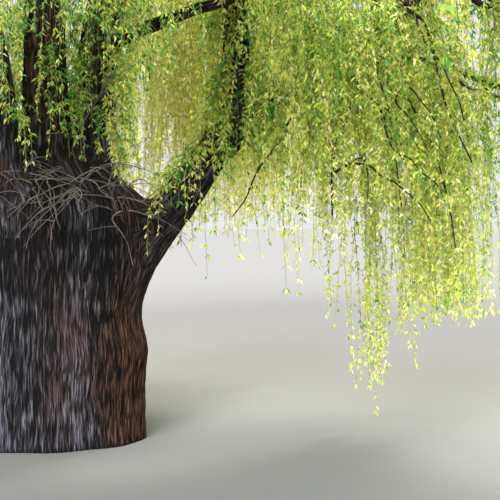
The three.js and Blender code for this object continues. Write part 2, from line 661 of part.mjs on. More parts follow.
let shoots = shootsSolid();
for (const cutter of cutters) shoots = shoots.subtract(cutter);
tree.add(meshOf(SHOOTS.name, mainBody(shoots), COLOURS.shoots));

export default tree;
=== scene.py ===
import math

import bpy
import numpy as np
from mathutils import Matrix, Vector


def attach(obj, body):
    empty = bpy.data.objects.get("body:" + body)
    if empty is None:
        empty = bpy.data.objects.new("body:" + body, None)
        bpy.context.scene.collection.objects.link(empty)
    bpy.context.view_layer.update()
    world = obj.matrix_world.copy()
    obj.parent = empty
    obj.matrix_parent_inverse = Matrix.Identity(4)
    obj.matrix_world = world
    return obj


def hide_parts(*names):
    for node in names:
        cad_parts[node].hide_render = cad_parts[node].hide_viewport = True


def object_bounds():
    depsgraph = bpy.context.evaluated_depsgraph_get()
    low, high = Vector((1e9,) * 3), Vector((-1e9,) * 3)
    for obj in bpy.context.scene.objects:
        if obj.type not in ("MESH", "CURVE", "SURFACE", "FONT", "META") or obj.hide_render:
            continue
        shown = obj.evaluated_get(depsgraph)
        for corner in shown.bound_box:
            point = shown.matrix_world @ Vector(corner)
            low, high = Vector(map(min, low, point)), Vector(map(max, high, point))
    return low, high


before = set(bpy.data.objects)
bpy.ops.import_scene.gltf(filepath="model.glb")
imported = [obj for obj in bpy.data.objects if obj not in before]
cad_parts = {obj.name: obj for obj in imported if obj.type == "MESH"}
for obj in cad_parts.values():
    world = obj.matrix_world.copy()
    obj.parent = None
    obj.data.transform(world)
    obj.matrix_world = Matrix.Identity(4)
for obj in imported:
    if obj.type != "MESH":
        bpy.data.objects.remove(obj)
FRAME_BOX = [list(corner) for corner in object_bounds()]
NODES = sorted(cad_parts)
MASS_NODES = [name for name in NODES if name.startswith("foliage")]
LIMB_NODES = [name for name in NODES if name.startswith(("bough", "stem", "branch"))]

bl_info = {
    "name": "Weeping willow",
    "version": (1, 0, 0),
    "blender": (4, 5, 0),
    "location": "3D View > Sidebar > Willow",
    "description": "Grows bark, twigs and leaves over the frame of a weeping willow",
    "category": "Add Mesh",
}

# Trunk.
TRUNK_RADIUS = 0.655
TRUNK_TOP = 1.93
HEAD_FROM, HEAD_TO, HEAD_NARROWS, HEAD_CURVE = 1.48, 2.05, 0.78, 1.5
ROOT_FLARE, FLARE_HEIGHT = 0.014, 0.13
# Heading, angular width, swelling in the shaft and at the foot.
FLUTES = (
    (-4, 0.42, 0.052, 0.002), (48, 0.36, 0.034, 0.024), (97, 0.40, 0.046, 0.038), (150, 0.38, 0.038, 0.034),
    (200, 0.40, 0.058, 0.028), (248, 0.30, 0.044, 0.016), (284, 0.26, 0.040, 0.012), (322, 0.24, 0.036, 0.008),
)
# Height, half height, size, and the heading and angular width of a swelling that faces one way.
SWELLINGS = (
    (0.62, 0.15, 0.022, None, 0), (0.88, 0.17, -0.026, None, 0),
    (1.40, 0.26, 0.095, -2, 0.6), (1.33, 0.28, 0.070, 198, 0.6),
)

# Crown.
DOME_RADIUS, DOME_FOOT, DOME_RISE = 6.25, 4.2, 7.25
BORDER_SINKS = 0.5
CROWN_OPENS_TO, LIFT, LIFT_WIDTH = -81, 2.05, 46
SKIRT_FLOOR, FLOOR_SWAY, FLOOR_WAVES, FLOOR_TURN = 0.85, 0.26, 3, 13

# Boughs and stems.
SIDE_TIP, ARCH, SWAY, BOUGH_POINTS = 0.55, 0.11, 0.06, 6
ARCH_POINTS = ((0.33, 0.9), (0.68, 1.0))
STEM_SHARE, STEM_TAPER = 0.85, 0.7
STEM_OUT, STEM_BOW, STEM_OVER, STEM_HANG = 0.62, 0.22, 0.2, 1.5

# Twigs.
SIDE_MARGIN, RING_MARGIN, BOX_MARGIN = 3.4, 0.05, 0.14
TOP_MARGIN, TOPS_VARY = 0.21, 0.42
ROWS, ROW_DEPTH, SCATTER, FALL_VARIES = (0.78, 0.08), 0.2, 0.4, 0.3
TWIG_BEND, TWIG_BOW, TWIG_PUSH = 0.55, 0.08, 0.06
SHORTEST_ARCH, SHORTEST_FALL, SEEDS_APART = 0.11, 0.2, 100
SPRAY_VARIES, EDGE, CLEAR = 0.15, 0.012, 0.03


def point(x, y, z):
    return np.array((x, y, z), dtype=float)


def polar(heading, radius, z):
    return point(radius * math.cos(math.radians(heading)), radius * math.sin(math.radians(heading)), z)


RIGHT_BOUGHS = (
    ("bough_right_low", (0.185, 0.104),
     (point(0.38, -0.03, 1.08), point(0.764, -0.05, 1.458), point(1.026, -0.05, 1.776),
      point(1.335, -0.025, 2.23))),
    ("bough_right_rise", (0.103, 0.044),
     (point(1.325, -0.027, 2.2), point(1.35, 0.02, 2.7), point(1.48, 0.13, 3.7), polar(5, 2.65, 6.75))),
    ("bough_right_outer", (0.078, 0.042),
     (point(1.255, -0.06, 2.085), point(1.89, -0.06, 2.57), point(2.51, -0.09, 3.02),
      polar(-5, 3.85, 4.45))),
)
# Name, radii, bow, foot and tip.
TRUNK_BOUGHS = (
    ("stem_right", (0.172, 0.048), 2.1, point(0.345, 0.04, 1.48), polar(50, 2.65, 6.8)),
    ("stem_centre", (0.168, 0.04), 1.0, point(0.01, -0.11, 1.48), point(0, 0, 8.9)),
    ("stem_left", (0.172, 0.046), 2.1, point(-0.33, 0.06, 1.48), polar(140, 2.65, 6.8)),
    ("stem_back", (0.172, 0.046), 1.7, point(0.01, 0.35, 1.45), polar(95, 2.65, 6.8)),
    ("stem_front", (0.15, 0.044), 1.7, point(-0.22, -0.37, 1.45), polar(230, 2.65, 6.75)),
    ("bough_left", (0.185, 0.046), 1.1, point(-0.4, -0.08, 1.08), polar(195, 3.85, 4.45)),
)
# Name, parent, where it leaves the parent, tip, and radius at the foot.
SIDE_BOUGHS = (
    ("bough_back_right", "stem_right", 0.36, polar(35, 3.85, 4.55), 0.082),
    ("bough_back_1", "stem_back", 0.36, polar(75, 3.85, 4.6), 0.084),
    ("bough_back_2", "stem_back", 0.46, polar(115, 3.85, 4.7), 0.08),
    ("bough_left_back", "stem_left", 0.38, polar(155, 3.85, 4.6), 0.084),
    ("bough_front_left", "stem_front", 0.36, polar(235, 3.85, 4.65), 0.08),
    ("bough_front", "stem_front", 0.5, polar(275, 3.85, 4.9), 0.078),
    ("bough_front_right", "bough_right_rise", 0.5, polar(315, 3.85, 4.7), 0.07),
    ("bough_mid_left", "stem_left", 0.62, polar(185, 2.65, 6.8), 0.07),
    ("bough_mid_front", "stem_centre", 0.5, polar(275, 2.65, 6.85), 0.074),
    ("bough_mid_right", "bough_right_rise", 0.7, polar(320, 2.65, 6.8), 0.056),
    ("bough_top_right", "stem_centre", 0.62, polar(0, 2.28, 8.95), 0.06),
    ("bough_top_back", "stem_centre", 0.66, polar(90, 2.28, 9.05), 0.06),
    ("bough_top_left", "stem_centre", 0.7, polar(180, 2.28, 9.0), 0.058),
    ("bough_top_front", "stem_centre", 0.74, polar(270, 2.28, 9.05), 0.056),
    ("branch_inner_right", "bough_right_outer", 0.4, polar(-13, 1.9, 3.06), 0.036),
    ("branch_middle_right", "bough_right_outer", 0.58, polar(-7, 2.39, 3.3), 0.036),
    ("branch_outer_right", "bough_right_outer", 0.72, polar(-12, 3.1, 3.95), 0.036),
    ("branch_inner_front", "stem_centre", 0.3, polar(-62, 0.9, 3.9), 0.044),
    ("branch_inner_left", "stem_front", 0.33, polar(208, 1.75, 3.45), 0.044),
    ("branch_inner_back", "stem_right", 0.4, polar(62, 1.85, 3.9), 0.044),
)

# Finer branches within the masses: their radii at the foot and the tip, and their route.
BRANCHES = (
    ((0.034, 0.012), ((1.93, -0.1, 2.58), (2.19, -0.28, 2.61), (2.55, -0.32, 2.63), (2.83, -0.33, 2.55),
        (3.2, -0.35, 2.42), (3.6, -0.35, 2.36))),
    ((0.026, 0.006), ((2.19, -0.28, 2.6), (2.1, -0.6, 2.26), (2.0, -0.85, 2.05), (1.972, -0.95, 1.82),
        (1.97, -1.0, 1.56))),
    ((0.055, 0.02), ((0.42, 0.1, 2.76), (0.62, -0.04, 2.84), (0.85, -0.16, 2.91), (1.08, -0.24, 2.98),
        (1.35, -0.28, 3.06), (1.7, -0.3, 3.3), (1.95, -0.3, 3.7))),
    ((0.026, 0.008), ((2.86, -0.13, 3.2), (3.05, -0.16, 3.03), (3.4, -0.2, 2.94), (3.75, -0.2, 2.92))),
    ((0.017, 0.006), ((2.93, -0.13, 3.16), (3.25, -0.05, 3.02), (3.6, 0.02, 2.88))),
    ((0.013, 0.004), ((1.86, -0.08, 2.52), (1.9, -0.16, 2.4), (1.74, -0.22, 2.24), (1.62, -0.25, 2.03),
        (1.5, -0.26, 1.87), (1.42, -0.27, 1.68), (1.33, -0.25, 1.56))),
    ((0.009, 0.004), ((1.87, -0.14, 2.38), (1.86, -0.2, 2.2), (1.81, -0.22, 1.95), (1.8, -0.22, 1.75))),
    ((0.013, 0.005), ((2.5, -0.2, 3.0), (2.6, -0.44, 2.88), (2.64, -0.66, 2.68), (2.72, -0.8, 2.26),
        (2.88, -0.84, 1.9))),
    ((0.011, 0.004), ((2.3, -0.29, 2.62), (2.46, -0.5, 2.4), (2.63, -0.64, 2.07), (2.74, -0.68, 1.7),
        (2.8, -0.68, 1.35))),
    ((0.01, 0.004), ((2.1, -0.24, 2.6), (2.28, -0.54, 2.34), (2.38, -0.7, 2.04), (2.44, -0.72, 1.62))),
    ((0.009, 0.0035), ((2.18, -0.28, 2.6), (2.15, -0.75, 2.37), (2.2, -0.85, 2.33), (2.27, -0.95, 2.26),
        (2.35, -1.0, 2.2), (2.43, -1.05, 2.1), (2.51, -1.1, 1.97))),
    ((0.008, 0.0035), ((2.31, -0.3, 2.62), (2.3, -0.6, 2.47), (2.31, -0.9, 2.33), (2.32, -1.0, 2.25),
        (2.34, -1.05, 2.12))),
    ((0.01, 0.0035), ((2.46, -0.31, 2.62), (2.46, -0.7, 2.44), (2.49, -0.9, 2.36), (2.53, -1.0, 2.28),
        (2.59, -1.05, 2.19), (2.64, -1.1, 2.04))),
    ((0.008, 0.003), ((2.27, -0.95, 2.26), (2.3, -1.0, 2.13), (2.32, -1.05, 2.03), (2.37, -1.1, 1.95),
        (2.45, -1.12, 1.91), (2.51, -1.15, 1.83), (2.61, -1.15, 1.75), (2.66, -1.15, 1.64))),
    ((0.008, 0.003), ((1.97, -0.95, 1.82), (2.08, -1.0, 1.89), (2.16, -1.02, 1.92), (2.19, -1.05, 1.82),
        (2.19, -1.05, 1.66))),
    ((0.008, 0.003), ((2.08, -1.0, 1.89), (2.2, -1.05, 1.87), (2.27, -1.05, 1.81), (2.35, -1.08, 1.77),
        (2.42, -1.1, 1.71), (2.51, -1.1, 1.63), (2.58, -1.1, 1.52))),
    ((0.007, 0.003), ((2.46, -0.7, 2.44), (2.38, -0.9, 2.29), (2.44, -0.98, 2.2), (2.51, -1.05, 2.08),
        (2.56, -1.1, 1.96))),
    ((0.012, 0.005), ((1.94, -0.12, 2.58), (1.96, -0.5, 2.37), (1.97, -0.7, 2.25), (1.98, -0.8, 2.12),
        (1.96, -0.85, 2.01))),
    ((0.014, 0.006), ((2.83, -0.33, 2.57), (2.85, -0.6, 2.43), (2.9, -0.7, 2.39), (2.97, -0.75, 2.37),
        (3.07, -0.8, 2.32), (3.2, -0.8, 2.27))),
    ((0.009, 0.004), ((2.97, -0.75, 2.37), (3.01, -0.8, 2.39), (3.14, -0.85, 2.4))),
    ((0.01, 0.004), ((2.55, -0.1, 3.06), (2.57, -0.45, 2.87), (2.6, -0.7, 2.68), (2.67, -0.9, 2.53),
        (2.72, -0.95, 2.4), (2.77, -1.0, 2.28), (2.8, -1.0, 2.16))),
)

# The space of each kind of mass and the twigs that the frame shows. Then comes the finer growth: how many
# more twigs, how many strands hang from each, how far apart the tufts sit, the length of a leaf, whether the
# growth is near enough to the trunk to be fine, and how yellow it is. A lowest is the middle and half width
# of the place where a mass hangs lowest and how far its floor rises beside it, and extra is how many more
# strands hang there.
KINDS = {
    "skirt": dict(half=20, inside=3.65, outside=5.35, below=1.7, above=7.905, twigs=6, twig=0.013, length=1.5,
                  more=13, strands=7, tufts=0.092, leaf=0.084, fine=False, yellow=0.45),
    "mid": dict(half=22.5, inside=2.3, outside=6.15, below=7.945, above=9.9, fringe=5.39, fringe_floor=3.15,
                twigs=6, twig=0.013, length=1.25,
                more=15, strands=7, tufts=0.095, leaf=0.098, fine=False, yellow=0.42),
    "top": dict(half=45, inside=1.95, outside=4.9, below=9.94, above=13.0, twigs=6, twig=0.011, length=0.95,
                more=20, strands=8, tufts=0.1, leaf=0.108, fine=False, yellow=0.38),
    "crest": dict(half=180, inside=0.0, outside=1.91, below=9.9, above=13.0, twigs=6, twig=0.011, length=0.9,
                  more=24, strands=8, tufts=0.1, leaf=0.108, fine=False, yellow=0.38, outward=0.4),
    "inner": dict(twigs=5, twig=0.008, length=0.9, shortest=0.45, longest=1.45, lowest=(0, 1, 0),
                  more=24, strands=8, tufts=0.0445, leaf=0.0405, fine=True, yellow=0.5),
}
# The masses of the ring, whose names begin with their kind, and the limb that carries each.
RING_MASSES = (
    ("skirt_right", "bough_right_outer"), ("skirt_back_right", "bough_back_right"),
    ("skirt_back_1", "bough_back_1"), ("skirt_back_2", "bough_back_2"),
    ("skirt_left_back", "bough_left_back"), ("skirt_left", "bough_left"),
    ("skirt_front_left", "bough_front_left"), ("skirt_front", "bough_front"),
    ("skirt_front_right", "bough_front_right"),
    ("mid_right", "bough_right_rise"), ("mid_back_right", "stem_right"), ("mid_back", "stem_back"),
    ("mid_back_left", "stem_left"), ("mid_left", "bough_mid_left"), ("mid_front_left", "stem_front"),
    ("mid_front", "bough_mid_front"), ("mid_front_right", "bough_mid_right"),
    ("top_right", "bough_top_right"), ("top_back", "bough_top_back"), ("top_left", "bough_top_left"),
    ("top_front", "bough_top_front"),
    ("crest", "stem_centre"),
)
# The masses within the ring, each on the branch of its name: the lowest and highest corner of its box, its
# floor, and what differs from its kind.
INNER_MASSES = (
    ("inner_right", point(1.48, -1.15, 0.7), point(2.11, 0.3, 3.5), 1.0,
     dict(yellow=0.46, lowest=(1.84, 0.12, 0.3), extra=1)),
    ("middle_right", point(2.13, -0.7, 0.28), point(2.76, 0.9, 3.9), 0.3,
     dict(yellow=0.42, shortest=0.88, more=28, longest=2.5, lowest=(2.31, 0.2, 0.57), extra=1.4)),
    ("outer_right", point(2.78, -1.15, 0.8), point(3.45, 0.3, 4.3), 0.9,
     dict(yellow=0.33, shortest=0.65, more=30, longest=1.6, lowest=(2.8, 0.2, 0.2))),
    ("inner_front", point(-0.3, -1.7, 2.2), point(1.1, -0.62, 4.4), 2.25,
     dict(yellow=0.24, more=16)),
    ("inner_left", point(-2.7, -1.7, 1.25), point(-1.3, -0.3, 4.0), 1.3,
     dict(yellow=0.4, more=12, tufts=0.11, leaf=0.11, fine=False)),
    # The inner back mass is yellower: its young leaves, and in part painted light on leaves that stand in the
    # crown's shade.
    ("inner_back", point(0.3, 1.15, 1.4), point(1.85, 2.6, 4.4), 1.45,
     dict(yellow=0.9, more=44, strands=8, leaf=0.05, shortest=0.9, lowest=(0.6, 0.4, 0), extra=0.5)),
)

# The cream shade is the palest young leaves and, in part, a painted highlight.
LEAF_SHADES = ("cream_and_highlight", "yellow", "lime", "fresh", "deep")


# Numbers and curves.

DENSE = 40  # points between two of a route's own, before they are spaced evenly


def draws(seed):
    """The frame's seeded run of numbers from 0 to 1."""
    state = ((seed + 1) * 2654435761) & 0xFFFFFFFF

    def draw():
        nonlocal state
        state = (state * 1664525 + 1013904223) & 0xFFFFFFFF
        return (state >> 8) / 2**24

    return draw


def bump(value, half):
    return np.exp(-((value / half) ** 2))


def turn_between(a, b):
    return np.arctan2(np.sin(a - b), np.cos(a - b))


def smoothstep(value, low, high):
    share = np.clip((value - low) / (high - low), 0, 1)
    return share * share * (3 - 2 * share)


def lerp(a, b, share):
    return a + (b - a) * share


def unit(vectors):
    return vectors / np.maximum(np.linalg.norm(vectors, axis=-1, keepdims=True), 1e-9)


def heading_of(at):
    return math.degrees(math.atan2(at[1], at[0]))


def round_middle(at):
    """How far points are from the trunk's middle line, and the angle at which they stand round it."""
    return np.hypot(at[..., 0], at[..., 1]), np.arctan2(at[..., 1], at[..., 0])


def level_way(turn):
    return np.stack((np.cos(turn), np.sin(turn), np.zeros(turn.shape)), axis=-1)


def aside(ways):
    """The level direction to the left of each way."""
    return np.stack((-ways[:, 1], ways[:, 0], np.zeros(len(ways))), axis=1)


def with_ends(route):
    """A route with one point more at each end, for a smooth curve through it."""
    route = np.asarray(route)
    return np.vstack((2 * route[0] - route[1], route, 2 * route[-1] - route[-2]))


def smooth(p0, p1, p2, p3, t):
    """The smooth curve from p1 to p2."""
    a, b = 0.5 * (p2 - p0), 0.5 * (p3 - p1)
    return p1 + a * t + (3 * (p2 - p1) - 2 * a - b) * t**2 + (2 * (p1 - p2) + a + b) * t**3


def gaps_in(line):
    return np.linalg.norm(np.diff(line, axis=0), axis=1)


def gone_along(line):
    """How far along the line each of its points lies."""
    return np.concatenate(([0], np.cumsum(gaps_in(line))))


def curve_points(route, count):
    """Points evenly spaced along the smooth curve through a route."""
    dense = np.linspace(0, len(route) - 1, DENSE * len(route))
    before = np.minimum(dense.astype(int), len(route) - 2)
    ends = with_ends(route)
    at = smooth(*(ends[before + k] for k in range(4)), (dense - before)[:, None])
    gone = gone_along(at)
    even = np.linspace(0, gone[-1], count)
    return np.stack([np.interp(even, gone, at[:, axis]) for axis in range(3)], axis=1)


def curve_at(route, share):
    """The point at a share of a route's parameter, as the frame takes the foot of a side bough."""
    place = share * (len(route) - 1)
    before = min(int(place), len(route) - 2)
    return smooth(*with_ends(route)[before:before + 4], place - before)


# The limbs.

def trunk_radius(angle, z):
    foot = np.exp(-np.maximum(z, 0) / FLARE_HEIGHT)
    radius = TRUNK_RADIUS + ROOT_FLARE * foot
    for heading, width, shaft, at_foot in FLUTES:
        radius = radius + bump(turn_between(angle, math.radians(heading)), width) * (shaft + at_foot * foot)
    for height, half, size, heading, width in SWELLINGS:
        facing = 1 if heading is None else bump(turn_between(angle, math.radians(heading)), width)
        radius = radius + facing * size * bump(z - height, half)
    return radius * np.sqrt(1 - HEAD_NARROWS * smoothstep(z, HEAD_FROM, HEAD_TO) ** HEAD_CURVE)


def trunk_bough_route(foot, tip, bow):
    sway = polar(heading_of(tip) + 90, SWAY, 0)
    route = []
    for i in range(BOUGH_POINTS):
        share = i / (BOUGH_POINTS - 1)
        at = lerp(foot, tip, share**bow)
        at[2] = lerp(foot[2], tip[2], share)
        route.append(at + sway * math.sin(share * math.tau))
    return route


def side_bough_route(start, tip):
    arch = np.linalg.norm(tip - start) * ARCH
    between = [lerp(start, tip, share) + point(0, 0, up * arch) for share, up in ARCH_POINTS]
    return [start, *between, tip]


def all_limbs():
    """Every limb by name: its route and its radius at the foot and the tip."""
    limbs = {name: (route, radii) for name, radii, route in RIGHT_BOUGHS}
    for name, radii, bow, foot, tip in TRUNK_BOUGHS:
        limbs[name] = (trunk_bough_route(foot, tip, bow), radii)
    for name, parent, share, tip, foot in SIDE_BOUGHS:
        start = curve_at(limbs[parent][0], share)
        limbs[name] = (side_bough_route(start, tip), (foot, foot * SIDE_TIP))
    return limbs


LIMBS = all_limbs()
LENGTH_POINTS = 200


def limb_samples(spacing):
    """Points along every limb with their radius, as one array of each."""
    places, sizes = [], []
    for route, radii in LIMBS.values():
        length = gaps_in(curve_points(route, LENGTH_POINTS)).sum()
        line = curve_points(route, max(2, int(length / spacing)))
        places.append(line)
        sizes.append(np.linspace(radii[0], radii[1], len(line)))
    return np.vstack(places), np.concatenate(sizes)


# Meshes from arrays.

def mesh_object(name, vertices, triangles, material, attributes=None):
    """An object of triangles that rides on the tree's one body."""
    mesh = bpy.data.meshes.new(name)
    mesh.vertices.add(len(vertices))
    mesh.vertices.foreach_set("co", np.asarray(vertices, dtype=np.float32).ravel())
    mesh.loops.add(3 * len(triangles))
    mesh.loops.foreach_set("vertex_index", np.asarray(triangles, dtype=np.int32).ravel())
    mesh.polygons.add(len(triangles))
    mesh.polygons.foreach_set("loop_start", np.arange(0, 3 * len(triangles), 3, dtype=np.int32))
    mesh.polygons.foreach_set("use_smooth", np.ones(len(triangles), dtype=bool))
    mesh.update(calc_edges=True)
    for key, values in (attributes or {}).items():
        kind, field = ("FLOAT_VECTOR", "vector") if values.ndim == 2 else ("FLOAT", "value")
        layer = mesh.attributes.new(key, kind, "POINT")
        layer.data.foreach_set(field, np.asarray(values, dtype=np.float32).ravel())
    mesh.materials.append(material)
    made = bpy.data.objects.new(name, mesh)
    bpy.context.scene.collection.objects.link(made)
    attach(made, "root")
    return made


def wall_triangles(rings, around, first=0):
    """The triangles of a closed wall of rings."""
    i = np.arange(rings - 1)[:, None] * around
    j = np.arange(around)[None, :]
    a, b = i + j, i + (j + 1) % around
    low = np.stack((a, b, b + around), axis=-1).reshape(-1, 3)
    high = np.stack((a, b + around, a + around), axis=-1).reshape(-1, 3)
    return np.vstack((low, high)) + first


def fan_triangles(ring, centre, flip=False):
    after = np.roll(ring, -1)
    fan = np.stack((ring, after, np.full(len(ring), centre)), axis=1)
    return fan[:, ::-1] if flip else fan


def tubes(paths, radii, beside, sides):
    """Thin tubes: paths (n, p, 3), radii (n, p), and a direction beside each path (n, 3)."""
    count, steps, _ = paths.shape
    along = unit(np.gradient(paths, axis=1))
    first = unit(beside[:, None, :] - along * (along * beside[:, None, :]).sum(-1, keepdims=True))
    second = np.cross(along, first)
    turns = np.arange(sides) * math.tau / sides
    ring = np.cos(turns)[:, None] * first[:, :, None, :] + np.sin(turns)[:, None] * second[:, :, None, :]
    vertices = paths[:, :, None, :] + radii[:, :, None, None] * ring
    wall = wall_triangles(steps, sides)
    each = np.arange(count)[:, None, None] * (steps * sides)
    return vertices.reshape(-1, 3), (wall[None] + each).reshape(-1, 3)


def joined(parts):
    """Several (vertices, triangles) as one."""
    first = np.cumsum([0] + [len(vertices) for vertices, _ in parts[:-1]])
    return (
        np.vstack([vertices for vertices, _ in parts]),
        np.vstack([triangles + start for (_, triangles), start in zip(parts, first)]),
    )


# Bark relief. Widths and lengths are in furrow spacings, and a cut is how deep and how sharp it goes in.

GRAIN_ROWS, GRAIN_GAIN = 64, 1.5
BEND_WIDTH, BEND_LENGTH, BEND_SIZE = 7, 16, 1.6
FURROW_WIDTH, FURROW_LENGTH, FURROW_CUT = 2.4, 15, (0.6, 0.34)
PLATE_STRETCH, PLATE_CUT = 0.6, (0.35, 0.2)
SPLIT_SIZE, SPLIT_STRETCH = 0.35, 1.9
LUMP_LENGTH, LUMP_SIZE = 8, 0.2
RIDGE_LEVEL, RIDGE_ROUGHNESS, HIGHEST_RIDGE = 0.98, 0.14, 1.2


def grain(u, v, cells, seed):
    """Smooth noise from about -1 to 1. It closes on itself after a number of cells round the limb."""
    turns = np.random.default_rng(seed).uniform(0, math.tau, (GRAIN_ROWS, cells))
    column, row = np.floor(u).astype(int), np.floor(v).astype(int)
    total = 0
    for right in (0, 1):
        for up in (0, 1):
            turn = turns[(row + up) % GRAIN_ROWS, (column + right) % cells]
            across, along = u - column - right, v - row - up
            slope = np.cos(turn) * across + np.sin(turn) * along
            fade = smoothstep(1 - np.abs(across), 0, 1)
            total = total + slope * fade * smoothstep(1 - np.abs(along), 0, 1)
    return GRAIN_GAIN * total


def bark_relief(angle, along, girth, spacing, seed):
    """From 0 in a furrow to 1 on a ridge, for long furrows that wander, part and meet along the limb."""
    share = angle / math.tau
    few = max(3, round(math.tau * girth / (BEND_WIDTH * spacing)))
    many = 2 * max(3, round(math.tau * girth / (FURROW_WIDTH * spacing)))
    bend = BEND_SIZE * grain(few * share, along / (BEND_LENGTH * spacing), few, seed)
    u, v = many * share + bend, along / (FURROW_LENGTH * spacing)
    plates = grain(u / 2, PLATE_STRETCH * v, many // 2, seed + 1)
    splits = grain(2 * u + 0.3, SPLIT_STRETCH * v, 2 * many, seed + 3)
    coarse = grain(u, v, many, seed + 2) + SPLIT_SIZE * splits
    lump = grain(few * share + 0.5, along / (LUMP_LENGTH * spacing), few, seed + 4)
    cut = PLATE_CUT[0] * bump(plates, PLATE_CUT[1]) + FURROW_CUT[0] * bump(coarse, FURROW_CUT[1])
    return np.clip(RIDGE_LEVEL - cut + RIDGE_ROUGHNESS * coarse + LUMP_SIZE * lump, 0, HIGHEST_RIDGE)


# The bark of trunk and boughs. Where limbs meet, their skins swell into one another.

BLEND = 0.05  # how softly two limbs run together
FILLET_REACH, FILLET_STEPS = 0.16, 7
JUNCTION_POINTS, JUNCTION_GAP = 300, 0.028
FAR_OFF = 9.0  # a gap wider than any that counts
BARK_LEVEL = 0.8  # the relief that lies on the limb's own surface

TRUNK_AROUND, TRUNK_RINGS, CAP_RINGS = 980, 88, 12
CAP_TILT, CAP_RISE, CAP_STRETCH = 60, 0.04, 0.6
SWELLS_FROM = 0.85  # the trunk swells into its limbs above this height
HEAD_FLATTER = 0.5  # the share of the furrows' depth that is lost towards the trunk's top
TRUNK_SEED, BOUGH_SEED, SEED_STEP = 11, 40, 7
PLACE_SHIFT = 7.3  # between the patterns of one limb and the next
RING_TURN, RING_LIFT = 1.25, 0.04  # where round a limb its first point lies

LOBE_DEPTH, LOBE_MOST = 0.05, 0.6  # how far the trunk's flutes go in for the darkest painted shade
# Painted light and shade from the flutes: lighter on their lobes, darker in the hollows between them.
LOBE_SHADE = 0.3
# Stripes of painted highlight and painted shade round the trunk's front, where its lobes would catch the light
# or lie in shade.
PAINTED_LIGHT_AND_SHADE_STRIPES = ((-106, 5, 0.1), (-80, 9, -0.14), (-61, 9, 0.3), (-44, 8, -0.22))  # heading, half width, shade
HIGH_SHADE, HIGH_FROM, HIGH_TO = 0.26, 0.8, 1.4  # painted shade: the bark is darker towards the fork, where the crown shades it
# Painted shade over the trunk's head, up to its top.
HEAD_SHADE, HEAD_SHADE_FROM = 0.2, 1.6
WARM_HEADING, WARM_SHARE, WARM_EDGES = -12, 0.3, (0.7, 0.96)  # the trunk is ruddier on this side
BOUGH_WARMTH = 0.14
FORK_SHADE, FORK_FROM, FORK_TO = 0.18, 1.9, 2.7  # painted shade: the boughs are darker down to their feet, as in the crown's shade
END_SHADE, TIP_SHADE = (0.3, 0.3), 0.5

DETAIL_TOP = 3.3  # the boughs are fine up to here
LINE_POINTS = 400
FINE_GAPS, FAR_GAPS = (0.03, 0.012), (0.11, 0.03)  # along a bough and round it
LEAST_FINE, MOST_FINE, STRETCH_OVERLAP = 0.05, 0.98, 0.01  # as shares of a bough
LEAST_STEPS, LEAST_AROUND, MOST_AROUND = 6, 8, 110
COLLAR, COLLAR_REACH = 0.35, 0.14  # how much a bough is thicker at its foot, and how far
THIN_SPACING, GIRTH_SPACING = 0.6, 2.2  # furrows sit closer on a thinner bough
BOUGH_DEPTH, DEEPEST = 0.7, 0.13  # against the trunk's furrows and the bough's own radius


def blended_gap(at, parts):
    """The softened distance from points to several limbs, below 0 inside."""
    total = np.zeros(len(at))
    for places, sizes in parts:
        if places is None:
            radius, angle = round_middle(at)
            across = radius - trunk_radius(angle, np.minimum(at[:, 2], TRUNK_TOP))
            gap = np.maximum(across, at[:, 2] - TRUNK_TOP)
        else:
            gap = np.full(len(at), FAR_OFF)
            for place, size in zip(places, sizes):
                gap = np.minimum(gap, np.linalg.norm(at - place, axis=1) - size)
        total += np.exp(-np.clip(gap, -1, 2) / BLEND)
    return -BLEND * np.log(total)


def swollen(at, outward, parts):
    """Points moved out along their own directions to the softened surface of all the limbs."""
    gone = np.zeros(len(at))
    for _ in range(FILLET_STEPS):
        gap = blended_gap(at + outward * gone[:, None], parts)
        gone = np.clip(gone - gap, 0, FILLET_REACH)
    return at + outward * gone[:, None]


def junction_parts():
    """The trunk and the lower part of each limb that leaves it, for the softened surface."""
    parts = [(None, None)]
    for name, (route, radii) in LIMBS.items():
        if name.startswith(("stem", "bough_left", "bough_right")) and name != "bough_left_back":
            line = curve_points(route, JUNCTION_POINTS)
            every = max(1, int(JUNCTION_GAP * JUNCTION_POINTS / gaps_in(line).sum()))
            keep = np.arange(0, JUNCTION_POINTS, every)
            low = keep[line[keep, 2] < DETAIL_TOP]
            parts.append((line[low], lerp(radii[0], radii[1], low / (JUNCTION_POINTS - 1))))
    return parts


def limb_grid(line, radii, around):
    """Rings round a line: places, directions outward, angles and distances along."""
    outward = np.zeros((len(line), around, 3))
    turns = np.arange(around) * math.tau / around
    normal = point(math.cos(RING_TURN), math.sin(RING_TURN), RING_LIFT)
    for i, tangent in enumerate(unit(np.gradient(line, axis=0))):
        normal = unit(normal - tangent * normal.dot(tangent))
        outward[i] = np.cos(turns)[:, None] * normal + np.sin(turns)[:, None] * np.cross(tangent, normal)
    places = line[:, None, :] + outward * radii[:, None, None]
    size = outward.shape[:2]
    return places, outward, np.broadcast_to(turns, size), np.broadcast_to(gone_along(line)[:, None], size)


def bark_place(angle, along, girth, seed):
    """Where each point of the bark lies on the straightened limb."""
    shift = PLACE_SHIFT * seed
    return np.stack((girth * np.cos(angle) + shift, girth * np.sin(angle), along + shift), axis=-1)


